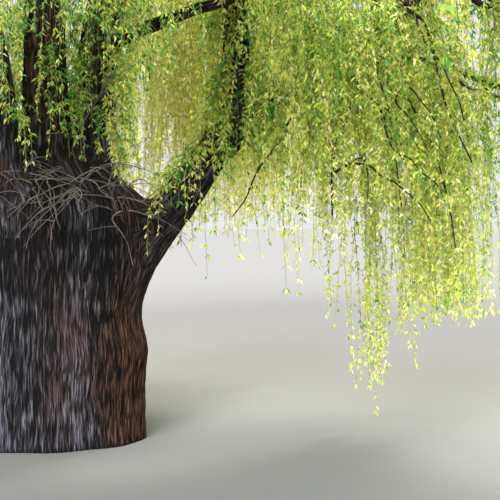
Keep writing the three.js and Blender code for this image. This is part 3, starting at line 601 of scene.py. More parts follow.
def trunk_skin(bark):
    """The trunk's skin: vertices, triangles, and each point's place on the bark, shade (its relief with
    painted light and shade) and warmth.
    """
    angle = np.arange(TRUNK_AROUND) * math.tau / TRUNK_AROUND
    z = np.linspace(0, TRUNK_TOP, TRUNK_RINGS)
    radius = trunk_radius(angle[None, :], z[:, None])
    tilt = math.radians(CAP_TILT) * smoothstep(z, HEAD_FROM, TRUNK_TOP)[:, None]
    shrink = np.linspace(0, 1, CAP_RINGS + 1)[1:-1, None]
    radius = np.vstack((radius, radius[-1:] * (1 - shrink)))
    tilt = np.vstack((tilt, math.radians(CAP_TILT) + math.radians(90 - CAP_TILT) * shrink))
    height = np.concatenate((z, TRUNK_TOP + CAP_RISE * np.sin(shrink[:, 0] * math.pi / 2)))
    height = np.broadcast_to(height[:, None], radius.shape)
    angle = np.broadcast_to(angle, radius.shape)
    flat = level_way(angle)
    outward = flat * np.cos(tilt)[..., None]
    outward[..., 2] = np.sin(tilt)
    places = flat * radius[..., None]
    places[..., 2] = height
    high = height > SWELLS_FROM
    places[high] = swollen(places[high], outward[high], junction_parts())
    up = height + CAP_STRETCH * (radius[-CAP_RINGS] - radius) * (height > TRUNK_TOP - 0.01)
    relief = bark_relief(angle, up, TRUNK_RADIUS, bark.furrow_spacing, TRUNK_SEED)
    depth = bark.furrow_depth * (1 - HEAD_FLATTER * smoothstep(height, HEAD_FROM, TRUNK_TOP))
    places = places + outward * ((relief - BARK_LEVEL) * depth)[..., None]
    places[0, :, 2] = 0
    vertices = np.vstack((places.reshape(-1, 3), [[0, 0, 0]], [places[-1].mean(axis=0)]))
    ring = np.arange(TRUNK_AROUND)
    triangles = np.vstack((
        wall_triangles(len(places), TRUNK_AROUND),
        fan_triangles(ring, len(vertices) - 2, flip=True),
        fan_triangles(ring + (len(places) - 1) * TRUNK_AROUND, len(vertices) - 1),
    ))
    on_bark = np.vstack((bark_place(angle, up, TRUNK_RADIUS, 0).reshape(-1, 3), np.zeros((2, 3))))
    # Painted light and shade from the flutes: lighter on their lobes, darker in the hollows between them.
    lobes = np.clip((radius - radius.mean(axis=1)[:, None]) / LOBE_DEPTH, -1, LOBE_MOST)
    shade = relief + LOBE_SHADE * lobes * (height < HEAD_FROM)
    # Painted shade towards the fork and over the trunk's head.
    shade = shade - HIGH_SHADE * smoothstep(height, HIGH_FROM, HIGH_TO)
    shade = shade - HEAD_SHADE * smoothstep(height, HEAD_SHADE_FROM, TRUNK_TOP)
    # Painted highlight and painted shade in stripes round the trunk.
    for heading, half, size in PAINTED_LIGHT_AND_SHADE_STRIPES:
        shade = shade + size * bump(np.degrees(turn_between(angle, math.radians(heading))), half)
    warmth = WARM_SHARE * smoothstep(np.cos(angle - math.radians(WARM_HEADING)), *WARM_EDGES)
    return vertices, triangles, on_bark, np.append(shade, END_SHADE), np.append(warmth, (0, 0))


def bough_skin(route, radii, index, parts, bark):
    """One bough's skin in one or two stretches: fine below, coarser above."""
    line = curve_points(route, LINE_POINTS)
    length = gaps_in(line).sum()
    fine_end = np.searchsorted(line[:, 2], DETAIL_TOP) / LINE_POINTS
    stretches = []
    if fine_end > LEAST_FINE:
        stretches.append((0.0, fine_end, FINE_GAPS))
    if fine_end < MOST_FINE:
        stretches.append((max(0.0, fine_end - STRETCH_OVERLAP), 1.0, FAR_GAPS))
    made = []
    for start, end, gaps in stretches:
        steps = max(LEAST_STEPS, int((end - start) * length / gaps[0]))
        shares = np.linspace(start, end, steps)
        whole = np.linspace(0, 1, LINE_POINTS)
        stretch = np.stack([np.interp(shares, whole, line[:, k]) for k in range(3)], axis=1)
        size = lerp(radii[0], radii[1], shares)
        collar = 1 + COLLAR * np.exp(-shares * length / COLLAR_REACH) * (start == 0)
        around = int(np.clip(math.tau * size[0] / gaps[1], LEAST_AROUND, MOST_AROUND))
        places, outward, angle, along = limb_grid(stretch, size * collar, around)
        along = along + start * length
        if gaps is FINE_GAPS:
            places = swollen(places.reshape(-1, 3), outward.reshape(-1, 3), parts).reshape(places.shape)
        spacing = bark.furrow_spacing * (THIN_SPACING + GIRTH_SPACING * size[0])
        relief = bark_relief(angle, along, size[0], spacing, BOUGH_SEED + SEED_STEP * index)
        depth = np.minimum(bark.furrow_depth * BOUGH_DEPTH, DEEPEST * size)[:, None]
        places = places + outward * ((relief - BARK_LEVEL) * depth)[..., None]
        vertices = np.vstack((places.reshape(-1, 3), stretch[-1]))
        triangles = wall_triangles(steps, around)
        if end == 1.0:
            tip_ring = np.arange(around) + (steps - 1) * around
            triangles = np.vstack((triangles, fan_triangles(tip_ring, len(vertices) - 1)))
        on_bark = bark_place(angle, along, size[:, None], index + 1).reshape(-1, 3)
        shade = np.append(relief, TIP_SHADE)
        # Painted shade: darker down to the bough's foot.
        shade = shade - FORK_SHADE * (1 - smoothstep(vertices[:, 2], FORK_FROM, FORK_TO))
        warmth = np.full(len(vertices), BOUGH_WARMTH if route[0][0] > 0 else 0)
        made.append((vertices, triangles, np.vstack((on_bark, on_bark[-1:])), shade, warmth))
    return made


# Growth of the masses.

ROUND = point(0.35, 0.35, 0.06)  # how far fine growth may pass the sides of its mass
HEM_OVERLAP = 1.0  # how far a tier hangs down over the one below
TWIG_STEPS, STRAND_STEPS = 12, 6
FAR_STEPS = (0, 1, 3, 5)  # the steps that the strands of the outer crown keep
TWIG_SWAY, SWAY_TURNS = 0.07, 1.2
FINER_TWIG = 0.6  # a finer twig's thickness against the frame's
FAN, PUSH_LEAST, PUSH_MORE = 70, 0.15, 0.45  # how finer twigs within the ring lean out
CROWN_SEED = 19

LONGEST_STRAND = 1.45  # as a share of the mass's spray length
SHORTEST_STRAND, FAR_SHORTEST = 0.12, 0.7
STRANDS_FROM, STRANDS_OVER = 0.2, 0.79  # the part of a twig that strands hang from
NEAR_CROWD, NEAR_FAN, NEAR_REACH = 0.6, 1.0, (0.15, 0.6)  # nearer the tip, how widely, and how far out
FAR_CROWD, FAR_FAN, FAR_REACH = 1, 1.5, (0.1, 0.6)
STRAND_RISE, STRAND_TURN, STRAND_SWING = 0.35, 1.5, 0.035  # up first, then down, and from side to side
LEAST_KEPT = 3  # a strand cut shorter than this many steps is left out
LIMB_CLEAR, LIMB_ROUND = 0.02, 0.2


class Mass:
    """A mass of foliage: its kind, the space that it keeps to and the bough that carries it."""

    def __init__(self, index, bough, kind, low=None, high=None, floor=None, changes=()):
        self.index = index
        self.kind = {**KINDS[kind], **dict(changes)}
        self.is_skirt, self.is_tier = kind == "skirt", kind in ("mid", "top", "crest")
        self.low, self.high, self.floor = low, high, floor
        route, radii = LIMBS[bough]
        self.tip = route[-1]
        self.heading = heading_of(self.tip)
        self.stem_radius = radii[1] * STEM_SHARE

    def borders(self, radius):
        """The lowest and highest that a ring mass reaches at a distance from the middle."""
        sunk = BORDER_SINKS * radius
        lowest = self.kind["below"] - sunk
        if "fringe" in self.kind:
            lowest = np.where(radius > self.kind["fringe"], self.kind["fringe_floor"], lowest)
        dome = DOME_FOOT + DOME_RISE * np.sqrt(np.maximum(0, 1 - (radius / DOME_RADIUS) ** 2))
        return lowest, np.minimum(self.kind["above"] - sunk, dome)

    def holds(self, at, over=(0, 0, 0)):
        """Which points lie in the mass's space, or no further than over past it."""
        if self.low is not None:
            return ((at > self.low - over) & (at < self.high + over)).all(axis=-1)
        radius, angle = round_middle(at)
        turn = np.abs(turn_between(angle, math.radians(self.heading)))
        half = self.kind["half"]
        beside = radius * np.sin(math.radians(half) - turn) if half < 180 else np.full(radius.shape, 1.0)
        lowest, highest = self.borders(radius)
        inside = (radius > self.kind["inside"] - over[0]) & (radius < self.kind["outside"] + over[2])
        below = HEM_OVERLAP if self.is_tier and over[2] else 0
        between = (at[..., 2] > lowest - below) & (at[..., 2] < highest + over[2])
        return inside & (beside > EDGE - over[0]) & between

    def lets_by(self, at):
        """Which points fine growth may reach."""
        low, high = np.array(FRAME_BOX[0]) - ROUND[2], np.array(FRAME_BOX[1]) + ROUND[2]
        return self.holds(at, ROUND) & ((at > low) & (at < high)).all(axis=-1)

    def hanging_point(self, across, out, lower):
        under = TOP_MARGIN + TOPS_VARY * lower
        if self.low is not None:
            x = lerp(self.low[0], self.high[0], 0.5 + (0.5 - BOX_MARGIN) * across)
            y = lerp(self.low[1], self.high[1], lerp(BOX_MARGIN, 1 - BOX_MARGIN, out))
            return point(x, y, self.high[2] - under)
        radius = lerp(self.kind["inside"], self.kind["outside"], lerp(RING_MARGIN, 1 - RING_MARGIN, out))
        heading = self.heading + across * (self.kind["half"] - SIDE_MARGIN)
        return polar(heading, radius, float(self.borders(radius)[1]) - under)

    def floor_under(self, at):
        """The height that the mass hangs down to under points."""
        if self.floor is not None:
            middle, half, rise = self.kind["lowest"]
            return self.floor + rise * (1 - bump(((at[..., 0] - middle) / half) ** 2, 1))
        radius, heading = round_middle(at)
        if self.is_skirt:
            off = np.degrees(turn_between(heading, math.radians(CROWN_OPENS_TO)))
            sway = (1 + np.sin(FLOOR_WAVES * (heading + math.radians(FLOOR_TURN)))) / 2
            return SKIRT_FLOOR + FLOOR_SWAY * sway + LIFT * bump(off, LIFT_WIDTH)
        return self.borders(radius)[0]

    def stem_route(self):
        top = self.hanging_point(0, STEM_OUT, 0)
        rise = lerp(self.tip, top, 0.5) + point(0, 0, STEM_BOW * (top[2] - self.tip[2]))
        onward = (top - self.tip) * (1, 1, 0)
        onward = onward / np.linalg.norm(onward) * STEM_OVER * self.kind["length"]
        over = top + onward
        over[2] = top[2] - STEM_HANG * np.linalg.norm(onward)
        return [self.tip, rise, top, over]

    def twig_route(self, k, count, finer, stem):
        """One twig by the frame's rule. A finer one may hang shorter and lean further out."""
        draw = draws(self.index * SEEDS_APART + (self.kind["twigs"] if finer else 0) + k)
        across = ((k + 0.5 + SCATTER * (draw() - 0.5)) / count) * 2 - 1
        out = draw() ** self.kind.get("outward", 1) if finer else ROWS[k % 2] + ROW_DEPTH * draw()
        top = self.hanging_point(across, out, draw())
        room = top[2] - float(self.floor_under(top)) - self.kind["length"] * (1 + SPRAY_VARIES)
        fall = max(room * (1 - FALL_VARIES * draw()), SHORTEST_FALL)
        start = lerp(stem[1], stem[2], out)
        arch = np.linalg.norm(top - start)
        outward = unit((top - start) * (1, 1, 0))
        push = TWIG_PUSH
        if finer and self.low is not None:
            fall *= lerp(self.kind["shortest"], 1, draw())
            outward = polar(self.heading + FAN * (draw() - 0.5), 1, 0)
            push += (PUSH_LEAST + PUSH_MORE * draw()) * fall
        bend = lerp(start, top, TWIG_BEND) + point(0, 0, TWIG_BOW * arch)
        route = [start, bend, top, top + outward * push + point(0, 0, -fall)]
        fits = self.lets_by if finer else self.holds
        return route if arch >= SHORTEST_ARCH and fits(np.array(route[1:])).all() else None

    def twig_lines(self, rng):
        """The mass's stem, and the lines of its twigs with the radius that each starts with."""
        stem = self.stem_route()
        lines, sizes = [], []
        for finer, count in ((False, self.kind["twigs"]), (True, self.kind["more"])):
            for k in range(count):
                route = self.twig_route(k, count, finer, stem)
                if route is None:
                    continue
                line = curve_points(route, TWIG_STEPS)
                down = np.clip(np.linspace(-1, 1, TWIG_STEPS), 0, 1)
                for axis in (0, 1):
                    sway = np.sin(math.tau * (SWAY_TURNS * down + rng.uniform()))
                    line[:, axis] += TWIG_SWAY * down * sway
                lines.append(line)
                sizes.append(self.kind["twig"] * (FINER_TWIG if finer else 1))
        return stem, lines, sizes


def all_masses():
    masses = [Mass(i, bough, name.split("_")[0]) for i, (name, bough) in enumerate(RING_MASSES)]
    for name, low, high, floor, changes in INNER_MASSES:
        masses.append(Mass(len(masses), "branch_" + name, "inner", low, high, floor, changes))
    return masses


def near_limb(at, places, sizes):
    """Which points come close to a limb or the trunk."""
    flat = at.reshape(-1, 3)
    close = np.zeros(len(flat), dtype=bool)
    low, high = flat.min(axis=0) - LIMB_ROUND, flat.max(axis=0) + LIMB_ROUND
    nearby = ((places > low) & (places < high)).all(axis=1)
    for place, size in zip(places[nearby], sizes[nearby]):
        offset = flat - place
        close |= (offset * offset).sum(axis=1) < (size + LIMB_CLEAR) ** 2
    radius, angle = round_middle(flat)
    close |= (flat[:, 2] < TRUNK_TOP + CLEAR) & (radius < trunk_radius(angle, flat[:, 2]) + CLEAR)
    return close.reshape(at.shape[:-1])


def between_steps(share, steps):
    """The step before each share of a line, and how far past that step it lies."""
    place = share * (steps - 1)
    before = np.minimum(place.astype(int), steps - 2)
    return before, (place - before)[..., None]


def points_on(line, share):
    """The points at shares of a line's length."""
    before, within = between_steps(share, len(line))
    return line[before] + (line[before + 1] - line[before]) * within


class Strands:
    """Hanging strands, gathered before they are made: paths (n, p, 3) and facts of each strand."""

    def __init__(self):
        self.paths, self.beside, self.length = [], [], []
        self.facts = {key: [] for key in ("radius", "tufts", "leaf", "fine", "yellow")}

    def add(self, paths, beside, **facts):
        self.paths.append(paths)
        self.beside.append(beside)
        self.length.append(np.linalg.norm(np.diff(paths, axis=1), axis=2).sum(axis=1))
        for key, value in facts.items():
            self.facts[key].append(np.full(len(paths), value))

    def stacked(self):
        gathered = dict(paths=self.paths, beside=self.beside, length=self.length, **self.facts)
        return {key: np.concatenate(value) for key, value in gathered.items()}


def hang(start, outward, reach, fall, rng):
    """Paths that leave their starts outward and hang down."""
    t = np.linspace(0, 1, STRAND_STEPS)[None, :, None]
    beside = aside(outward)
    across = reach[:, None, None] * (1 - (1 - t) ** 2) * outward[:, None, :]
    down = STRAND_RISE * reach[:, None, None] * 4 * t * (1 - t) - fall[:, None, None] * t**STRAND_TURN
    waves = np.sin(math.tau * t + rng.uniform(0, math.tau, (len(start), 1, 1)))
    swing = STRAND_SWING * fall[:, None, None] * waves
    paths = start[:, None, :] + across + swing * t * beside[:, None, :]
    paths[..., 2] += down[..., 0]
    return paths, beside


def cut_short(paths, out):
    """Paths that stop before their first point that is out, and which of them stay long enough."""
    out[:, 0] = False
    first_out = np.where(out.any(axis=1), out.argmax(axis=1), STRAND_STEPS)
    share = (first_out - 1) / (STRAND_STEPS - 1)
    before, within = between_steps(np.linspace(0, 1, STRAND_STEPS)[None, :] * share[:, None], STRAND_STEPS)
    rows = np.arange(len(paths))[:, None]
    return paths[rows, before] * (1 - within) + paths[rows, before + 1] * within, first_out >= LEAST_KEPT


def strands_of_mass(mass, lines, limb_places, limb_sizes, rng):
    """The strands that hang from a mass's twigs, cut short where they would leave its space."""
    kind = mass.kind
    fine, shortest, crowd, fan, reaches = kind["fine"], FAR_SHORTEST, FAR_CROWD, FAR_FAN, FAR_REACH
    if fine:
        shortest, crowd, fan, reaches = kind["shortest"], NEAR_CROWD, NEAR_FAN, NEAR_REACH
    middle, half, _ = kind.get("lowest", (0, 1, 0))
    extra = [kind.get("extra", 0) * bump(line[-1, 0] - middle, half) for line in lines]
    starts = []
    for line, more in zip(lines, extra):
        n = round(kind["strands"] * (1 + more))
        share = STRANDS_FROM + STRANDS_OVER * ((np.arange(n) + rng.uniform(0, 1, n)) / n) ** crowd
        starts.append(points_on(line, share))
    starts = np.vstack(starts)
    count = len(starts)
    ways = level_way(math.radians(mass.heading) + rng.normal(0, fan, count))
    reach = kind["length"] * rng.uniform(*reaches, count)
    hem = mass.floor_under(starts + ways * reach[:, None]) - (HEM_OVERLAP if mass.is_tier else 0)
    room = np.minimum(starts[:, 2] - hem, kind["length"] * kind.get("longest", LONGEST_STRAND))
    fall = np.maximum(SHORTEST_STRAND, room * rng.uniform(shortest, 1, count))
    paths, beside = hang(starts, ways, reach, fall, rng)
    out = ~mass.lets_by(paths) | near_limb(paths, limb_places, limb_sizes)
    paths, keep = cut_short(paths, out)
    return paths[keep], beside[keep]


# Short leafy shoots on the limbs near the trunk: limb, lowest and highest place, how many, how yellow,
# and the heading and spread of their fan in degrees.
LIMB_SHOOTS = (
    ("bough_right_rise", 2.2, 2.62, 60, 0.34, 310, 75), ("bough_right_rise", 2.62, 3.3, 55, 0.4, 290, 110),
    ("bough_right_low", 1.75, 2.2, 14, 0.3, 250, 90), ("bough_right_outer", 2.12, 2.5, 60, 0.32, 280, 110),
    ("bough_right_low", 1.55, 2.0, 26, 0.75, 130, 50), ("bough_right_low", 1.75, 2.25, 40, 0.7, 170, 70),
    ("bough_right_rise", 2.1, 2.7, 36, 0.66, 200, 60), ("bough_right_outer", 2.5, 3.6, 60, 0.4, 270, 180),
    ("stem_right", 2.1, 3.5, 100, 0.28, 270, 110), ("stem_right", 1.95, 3.3, 90, 0.72, 345, 45),
    ("bough_right_rise", 2.1, 3.1, 26, 0.7, 165, 50), ("stem_centre", 2.2, 3.8, 90, 0.28, 270, 130),
    ("stem_left", 2.2, 3.8, 50, 0.36, 250, 180), ("stem_front", 2.2, 3.8, 70, 0.3, 270, 150),
    ("bough_left", 2.1, 4.0, 40, 0.4, 200, 180), ("stem_back", 2.3, 4.0, 60, 0.4, 90, 180),
)
LIMB_SHOOT_LEAF, BRANCH_SHOOT_LEAF, BRANCH_SHOOT_YELLOW = 0.048, 0.041, 0.5
BRANCH_SHOOTS = 14  # on each metre of the finer branches
SHOOT_REACH, SHOOT_FALL, SHOOT_SUNK = (0.08, 0.26), (0.12, 0.42), 0.7
SHOOT_RADIUS, SHOOT_TUFTS = 0.003, 0.046
LIMB_STEPS, BRANCH_STEPS, BRANCH_FOOT = 300, 100, 10


def shoots_on(line, radii, chosen, heading, spread, rng):
    """Shoots that spring from the sides of a limb and hang a little."""
    count = len(chosen)
    ways = level_way(np.radians(heading + spread * rng.uniform(-1, 1, count)))
    size = lerp(radii[0], radii[1], chosen / (len(line) - 1))
    start = line[chosen] + ways * (size * SHOOT_SUNK)[:, None]
    return hang(start, ways, rng.uniform(*SHOOT_REACH, count), rng.uniform(*SHOOT_FALL, count), rng)


def add_limb_shoots(strands, rng):
    facts = dict(radius=SHOOT_RADIUS, tufts=SHOOT_TUFTS, fine=True)
    for name, low, high, count, yellow, heading, spread in LIMB_SHOOTS:
        route, radii = LIMBS[name]
        line = curve_points(route, LIMB_STEPS)
        chosen = rng.choice(np.flatnonzero((line[:, 2] > low) & (line[:, 2] < high)), count)
        made = shoots_on(line, radii, chosen, heading, spread, rng)
        strands.add(*made, leaf=LIMB_SHOOT_LEAF, yellow=yellow, **facts)
    for radii, route in BRANCHES:
        line = curve_points(route, BRANCH_STEPS)
        chosen = rng.integers(BRANCH_FOOT, BRANCH_STEPS, int(BRANCH_SHOOTS * gaps_in(line).sum()))
        made = shoots_on(line, radii, chosen, 270, 180, rng)
        strands.add(*made, leaf=BRANCH_SHOOT_LEAF, yellow=BRANCH_SHOOT_YELLOW, **facts)


# Leaves.

LEAF_WIDTH = 0.35  # as a share of its length
FINE_SHAPE = ((0.26, 0.8, 0.02), (0.62, 0.78, 0.11))  # along, across, and how far it has bent down
SIMPLE_SHAPE = ((0.42, 1.0, 0.05),)
TIP_AT, TIP_BEND = 0.97, 0.3
FULL_SHAPE = 0.04  # share of the near leaves that have the finer shape
LEAF_VARIES, LEAF_ROLL = (0.6, 1.2), 0.55
LEAF_ALONG, LEAF_SPREAD, LEAF_DROOP = 0.7, (0.5, 2.0), 0.2  # along the sprig, out from it, and down
GOLDEN_TURN, TURN_VARIES, TURN_REPEATS = 2.4, 1.2, 97
ON_STRAND = 0.45  # share of the near leaves that sit on the strand, not on a sprig
LOW_TIPS, LOW_MORE = 1.25, 2  # tufts below this height have more leaves

LEAFY_PART, FIRST_TUFT, FEWEST_TUFTS = 0.92, 0.08, 2
NEAR_SPRIG, FAR_SPRIG, SPRIG_SHRINKS, SPRIG_HALF = 0.075, 0.05, 0.35, 0.0016
SPRIG_OUT, TIP_OUT, SPRIG_DOWN, SPRIG_DROOP, SPRIG_TURNS = (0.5, 1.3), 0.15, 0.7, 0.15, 1.5

# How yellow a leaf must be for each shade, and how much it varies by strand, tuft and leaf.
# The first level parts off the cream leaves, partly a painted highlight.
SHADE_LEVELS = (-0.78, -0.53, -0.33, -0.16)
STRAND_VARIES, TUFT_VARIES, SHADE_VARIES = 0.15, 0.11, 0.24
TIP_YELLOW, LOW_YELLOW, LOW_HEIGHT = 0.22, 0.04, 2


def leaf_mesh(base, way, face, length, width, shape):
    """Leaves in their own outline, bent down towards the tip."""
    side = np.cross(way, face)
    rows = [base]
    for along, across, bent in shape:
        middle = base + way * (along * length)[:, None] - face * (bent * length)[:, None]
        half = side * (0.5 * across * width)[:, None]
        rows += [middle - half, middle + half]
    rows.append(base + way * length[:, None] * TIP_AT - face * (TIP_BEND * length)[:, None])
    tip = len(rows) - 1
    pattern = [(0, 2, 1)]
    for k in range(1, tip - 2, 2):
        pattern += [(k, k + 1, k + 3), (k, k + 3, k + 2)]
    pattern.append((tip - 2, tip - 1, tip))
    each = np.arange(len(base))[:, None, None] * len(rows)
    return np.stack(rows, axis=1).reshape(-1, 3), (np.array(pattern)[None] + each).reshape(-1, 3)


class Tufts:
    """Tufts of leaves, each on a short sprig that leaves its strand."""

    def __init__(self, strands, rng):
        fit = (strands["length"] * LEAFY_PART / strands["tufts"]).astype(int)
        counts = np.maximum(FEWEST_TUFTS, fit)
        self.strand = np.repeat(np.arange(len(counts)), counts)
        order = np.arange(len(self.strand)) - np.repeat(np.cumsum(counts) - counts, counts)
        each = counts[self.strand]
        total = len(each)
        self.share = FIRST_TUFT + (1 - FIRST_TUFT) * (order + rng.uniform(0.1, 0.9, total)) / each
        self.share[order == each - 1] = 1.0
        before, within = between_steps(self.share, STRAND_STEPS)
        low, high = strands["paths"][self.strand, before], strands["paths"][self.strand, before + 1]
        self.foot = low + (high - low) * within
        self.down = unit(high - low)
        self.fine = strands["fine"][self.strand].astype(bool)
        around = level_way(GOLDEN_TURN * order + rng.uniform(0, SPRIG_TURNS, total) + self.strand)
        out = np.where(self.share < 1, rng.uniform(*SPRIG_OUT, total), TIP_OUT)[:, None]
        self.way = unit(self.down * SPRIG_DOWN + around * out - point(0, 0, SPRIG_DROOP))
        longest = np.where(self.fine, NEAR_SPRIG, FAR_SPRIG)
        self.length = longest * rng.uniform(0.3, 1, total) * (1 - SPRIG_SHRINKS * self.share)

    def sprigs(self):
        """The sprigs of the finer growth, as slim triangles."""
        foot, way = self.foot[self.fine], self.way[self.fine]
        side = unit(np.cross(way, point(0.3, 1, 0.1))) * SPRIG_HALF
        tip = foot + way * self.length[self.fine][:, None]
        vertices = np.stack((foot - side, foot + side, tip), axis=1).reshape(-1, 3)
        return vertices, np.arange(len(vertices)).reshape(-1, 3)


def leaves_on(tufts, strands, per_tuft, rng):
    """The leaves of all the tufts: where they are, how they point, their size, kind, shade and strand."""
    tuft_count = len(tufts.strand)
    count = rng.integers(per_tuft - 1, per_tuft + 2, tuft_count)
    count = count - ~tufts.fine * rng.integers(1, 3, tuft_count)
    count += LOW_MORE * (tufts.fine & (tufts.foot[:, 2] < LOW_TIPS))
    tuft = np.repeat(np.arange(tuft_count), count)
    total = len(tuft)
    along = rng.uniform(0.3, 1, total)
    strand = tufts.strand[tuft]
    from_foot = tufts.way[tuft] * (along * tufts.length[tuft])[:, None]
    up_strand = tufts.down[tuft] * (-rng.uniform(0, 1, total) * strands["tufts"][strand])[:, None]
    on_strand = tufts.fine[tuft] & (rng.uniform(size=total) < ON_STRAND)
    base = tufts.foot[tuft] + np.where(on_strand[:, None], up_strand, from_foot)
    around = level_way(GOLDEN_TURN * (np.arange(total) % TURN_REPEATS) + rng.uniform(0, TURN_VARIES, total))
    spread = rng.uniform(*LEAF_SPREAD, total)[:, None]
    way = unit(tufts.way[tuft] * LEAF_ALONG + around * spread - point(0, 0, LEAF_DROOP))
    face = unit(point(0, 0, 1) - way * way[:, 2:3])
    face = unit(face + rng.normal(0, LEAF_ROLL, total)[:, None] * np.cross(way, face))
    length = strands["leaf"][strand] * rng.uniform(*LEAF_VARIES, total)
    # A leaf's shade follows its strand: yellower outside and at the tip, greener within.
    bias = strands["yellow"][tufts.strand] + TIP_YELLOW * (tufts.share - 0.5)
    bias += np.where(tufts.fine, LOW_YELLOW * np.clip(LOW_HEIGHT - tufts.foot[:, 2], -1, 1), 0)
    strand_bias = rng.normal(0, STRAND_VARIES, len(strands["length"]))
    bias += strand_bias[tufts.strand] + rng.normal(0, TUFT_VARIES, tuft_count)
    shade = np.digitize(-(bias[tuft] + rng.normal(0, SHADE_VARIES, total)), SHADE_LEVELS)
    full = tufts.fine[tuft] & (rng.uniform(size=total) < FULL_SHAPE)
    return base, way, face, length, full, shade, strand


# Materials.

def new_material(name, roughness):
    material = bpy.data.materials.new(name)
    material.use_nodes = True
    shader = material.node_tree.nodes["Principled BSDF"]
    shader.inputs["Roughness"].default_value = roughness
    return material, material.node_tree, shader


def ramp(tree, factor, stops):
    """The colour of a ramp with (place, colour) stops."""
    node = tree.nodes.new("ShaderNodeValToRGB")
    tree.links.new(factor, node.inputs["Fac"])
    elements = node.color_ramp.elements
    while len(elements) < len(stops):
        elements.new(0.5)
    for element, (place, colour) in zip(elements, stops):
        element.position = place
        element.color = (*colour, 1)
    return node.outputs["Color"]


def noise(tree, vector, scale, detail, stretch=(1, 1, 1)):
    """The strength of a noise pattern."""
    mapping = tree.nodes.new("ShaderNodeMapping")
    mapping.inputs["Scale"].default_value = stretch
    tree.links.new(vector, mapping.inputs["Vector"])
    node = tree.nodes.new("ShaderNodeTexNoise")
    node.inputs["Scale"].default_value = scale
    node.inputs["Detail"].default_value = detail
    tree.links.new(mapping.outputs["Vector"], node.inputs["Vector"])
    return node.outputs["Fac"]


def maths(tree, operation, *values):
    """The result of a sum or product of sockets and plain numbers."""
    node = tree.nodes.new("ShaderNodeMath")
    node.operation = operation
    for socket, value in zip(node.inputs, values):
        if isinstance(value, (int, float)):
            socket.default_value = value
        else:
            tree.links.new(value, socket)
    return node.outputs[0]


def mixed(tree, factor, one, two):
    node = tree.nodes.new("ShaderNodeMix")
    node.data_type = "RGBA"
    tree.links.new(factor, node.inputs[0])
    tree.links.new(one, node.inputs[6])
    tree.links.new(two, node.inputs[7])
    return node.outputs[2]


# The bark facts: place on the bark, relief together with painted light and shade, and warmth.
BARK_FACTS = ("bark_place", "bark_relief", "bark_warmth")
# Patterns in the bark: scale, detail and stretch along the limb, and the weight of the first two.
FIBRES, FIBRE_WEIGHT = (80, 4, (1, 1, 0.07)), 2.2
SPECKLE, SPECKLE_WEIGHT = (140, 2, (1, 1, 0.08)), 1.6
PATCHES = (2.2, 4, (1, 1, 0.5))
HEIGHT_SCALE = 0.283
BARK_ROUGHNESS, BARK_GLOSS, BUMP_STRENGTH, BUMP_DEPTH = 0.92, 0.12, 0.7, 0.02
FURROW_AT, BODY_AT, RIDGE_AT = 0.58, 0.74, 0.88
WARM_FROM, WARM_TO = 0.5, 0.78

TWIG_ROUGHNESS, SPECKS, SPECKS_FROM, SPECKS_TO = 0.7, (9, 3), 0.35, 0.65
LEAF_ROUGHNESS, LEAF_GLOSS = 0.5, 0.35


def bark_material(bark):
    """Dark furrows under greyer ridges, warmer in patches, with fine fibres along the limb, and painted light
    and shade brought by the relief fact.
    """
    material, tree, shader = new_material("furrowed_bark", BARK_ROUGHNESS)
    shader.inputs["Specular IOR Level"].default_value = BARK_GLOSS
    place, depth, warmth = (tree.nodes.new("ShaderNodeAttribute") for _ in BARK_FACTS)
    for node, name in zip((place, depth, warmth), BARK_FACTS):
        node.attribute_name = name
    height = depth.outputs["Fac"]
    for pattern, weight in ((FIBRES, FIBRE_WEIGHT), (SPECKLE, SPECKLE_WEIGHT)):
        height = maths(tree, "MULTIPLY_ADD", noise(tree, place.outputs["Vector"], *pattern), weight, height)
    height = maths(tree, "MULTIPLY", height, HEIGHT_SCALE)
    furrow, body, ridge, warm = (tuple(c) for c in (bark.furrow, bark.body, bark.ridge, bark.warm))
    # The furrows' near-black is partly painted shade and the ridges' bluish grey partly a painted highlight.
    cool = ramp(tree, height, ((FURROW_AT, furrow), (BODY_AT, body), (RIDGE_AT, ridge)))
    rust = ramp(tree, height, ((FURROW_AT, furrow), (RIDGE_AT, warm)))
    patches = noise(tree, place.outputs["Vector"], *PATCHES)
    ruddy = maths(tree, "ADD", patches, warmth.outputs["Fac"])
    where = ramp(tree, ruddy, ((WARM_FROM, (0, 0, 0)), (WARM_TO, (1, 1, 1))))
    tree.links.new(mixed(tree, where, cool, rust), shader.inputs["Base Color"])
    bumps = tree.nodes.new("ShaderNodeBump")
    bumps.inputs["Strength"].default_value = BUMP_STRENGTH
    bumps.inputs["Distance"].default_value = BUMP_DEPTH
    tree.links.new(height, bumps.inputs["Height"])
    tree.links.new(bumps.outputs["Normal"], shader.inputs["Normal"])
    return material


def twig_material(name, colour, darker):
    """A colour with specks of a darker share of it."""
    material, tree, shader = new_material(name, TWIG_ROUGHNESS)
    coordinates = tree.nodes.new("ShaderNodeTexCoord")
    specks = noise(tree, coordinates.outputs["Object"], *SPECKS)
    stops = ((SPECKS_FROM, tuple(darker * c for c in colour)), (SPECKS_TO, tuple(colour)))
    tree.links.new(ramp(tree, specks, stops), shader.inputs["Base Color"])
    return material


def leaf_material(name, colour, glow):
    """A plain leaf that lets some light through."""
    material, tree, shader = new_material(name, LEAF_ROUGHNESS)
    shader.inputs["Base Color"].default_value = (*colour, 1)
    shader.inputs["Specular IOR Level"].default_value = LEAF_GLOSS
    through = tree.nodes.new("ShaderNodeBsdfTranslucent")
    through.inputs["Color"].default_value = (*colour, 1)
    both = tree.nodes.new("ShaderNodeMixShader")
    both.inputs["Fac"].default_value = glow
    tree.links.new(shader.outputs["BSDF"], both.inputs[1])
    tree.links.new(through.outputs["BSDF"], both.inputs[2])
    tree.links.new(both.outputs["Shader"], tree.nodes["Material Output"].inputs["Surface"])
    return material


# Settings.

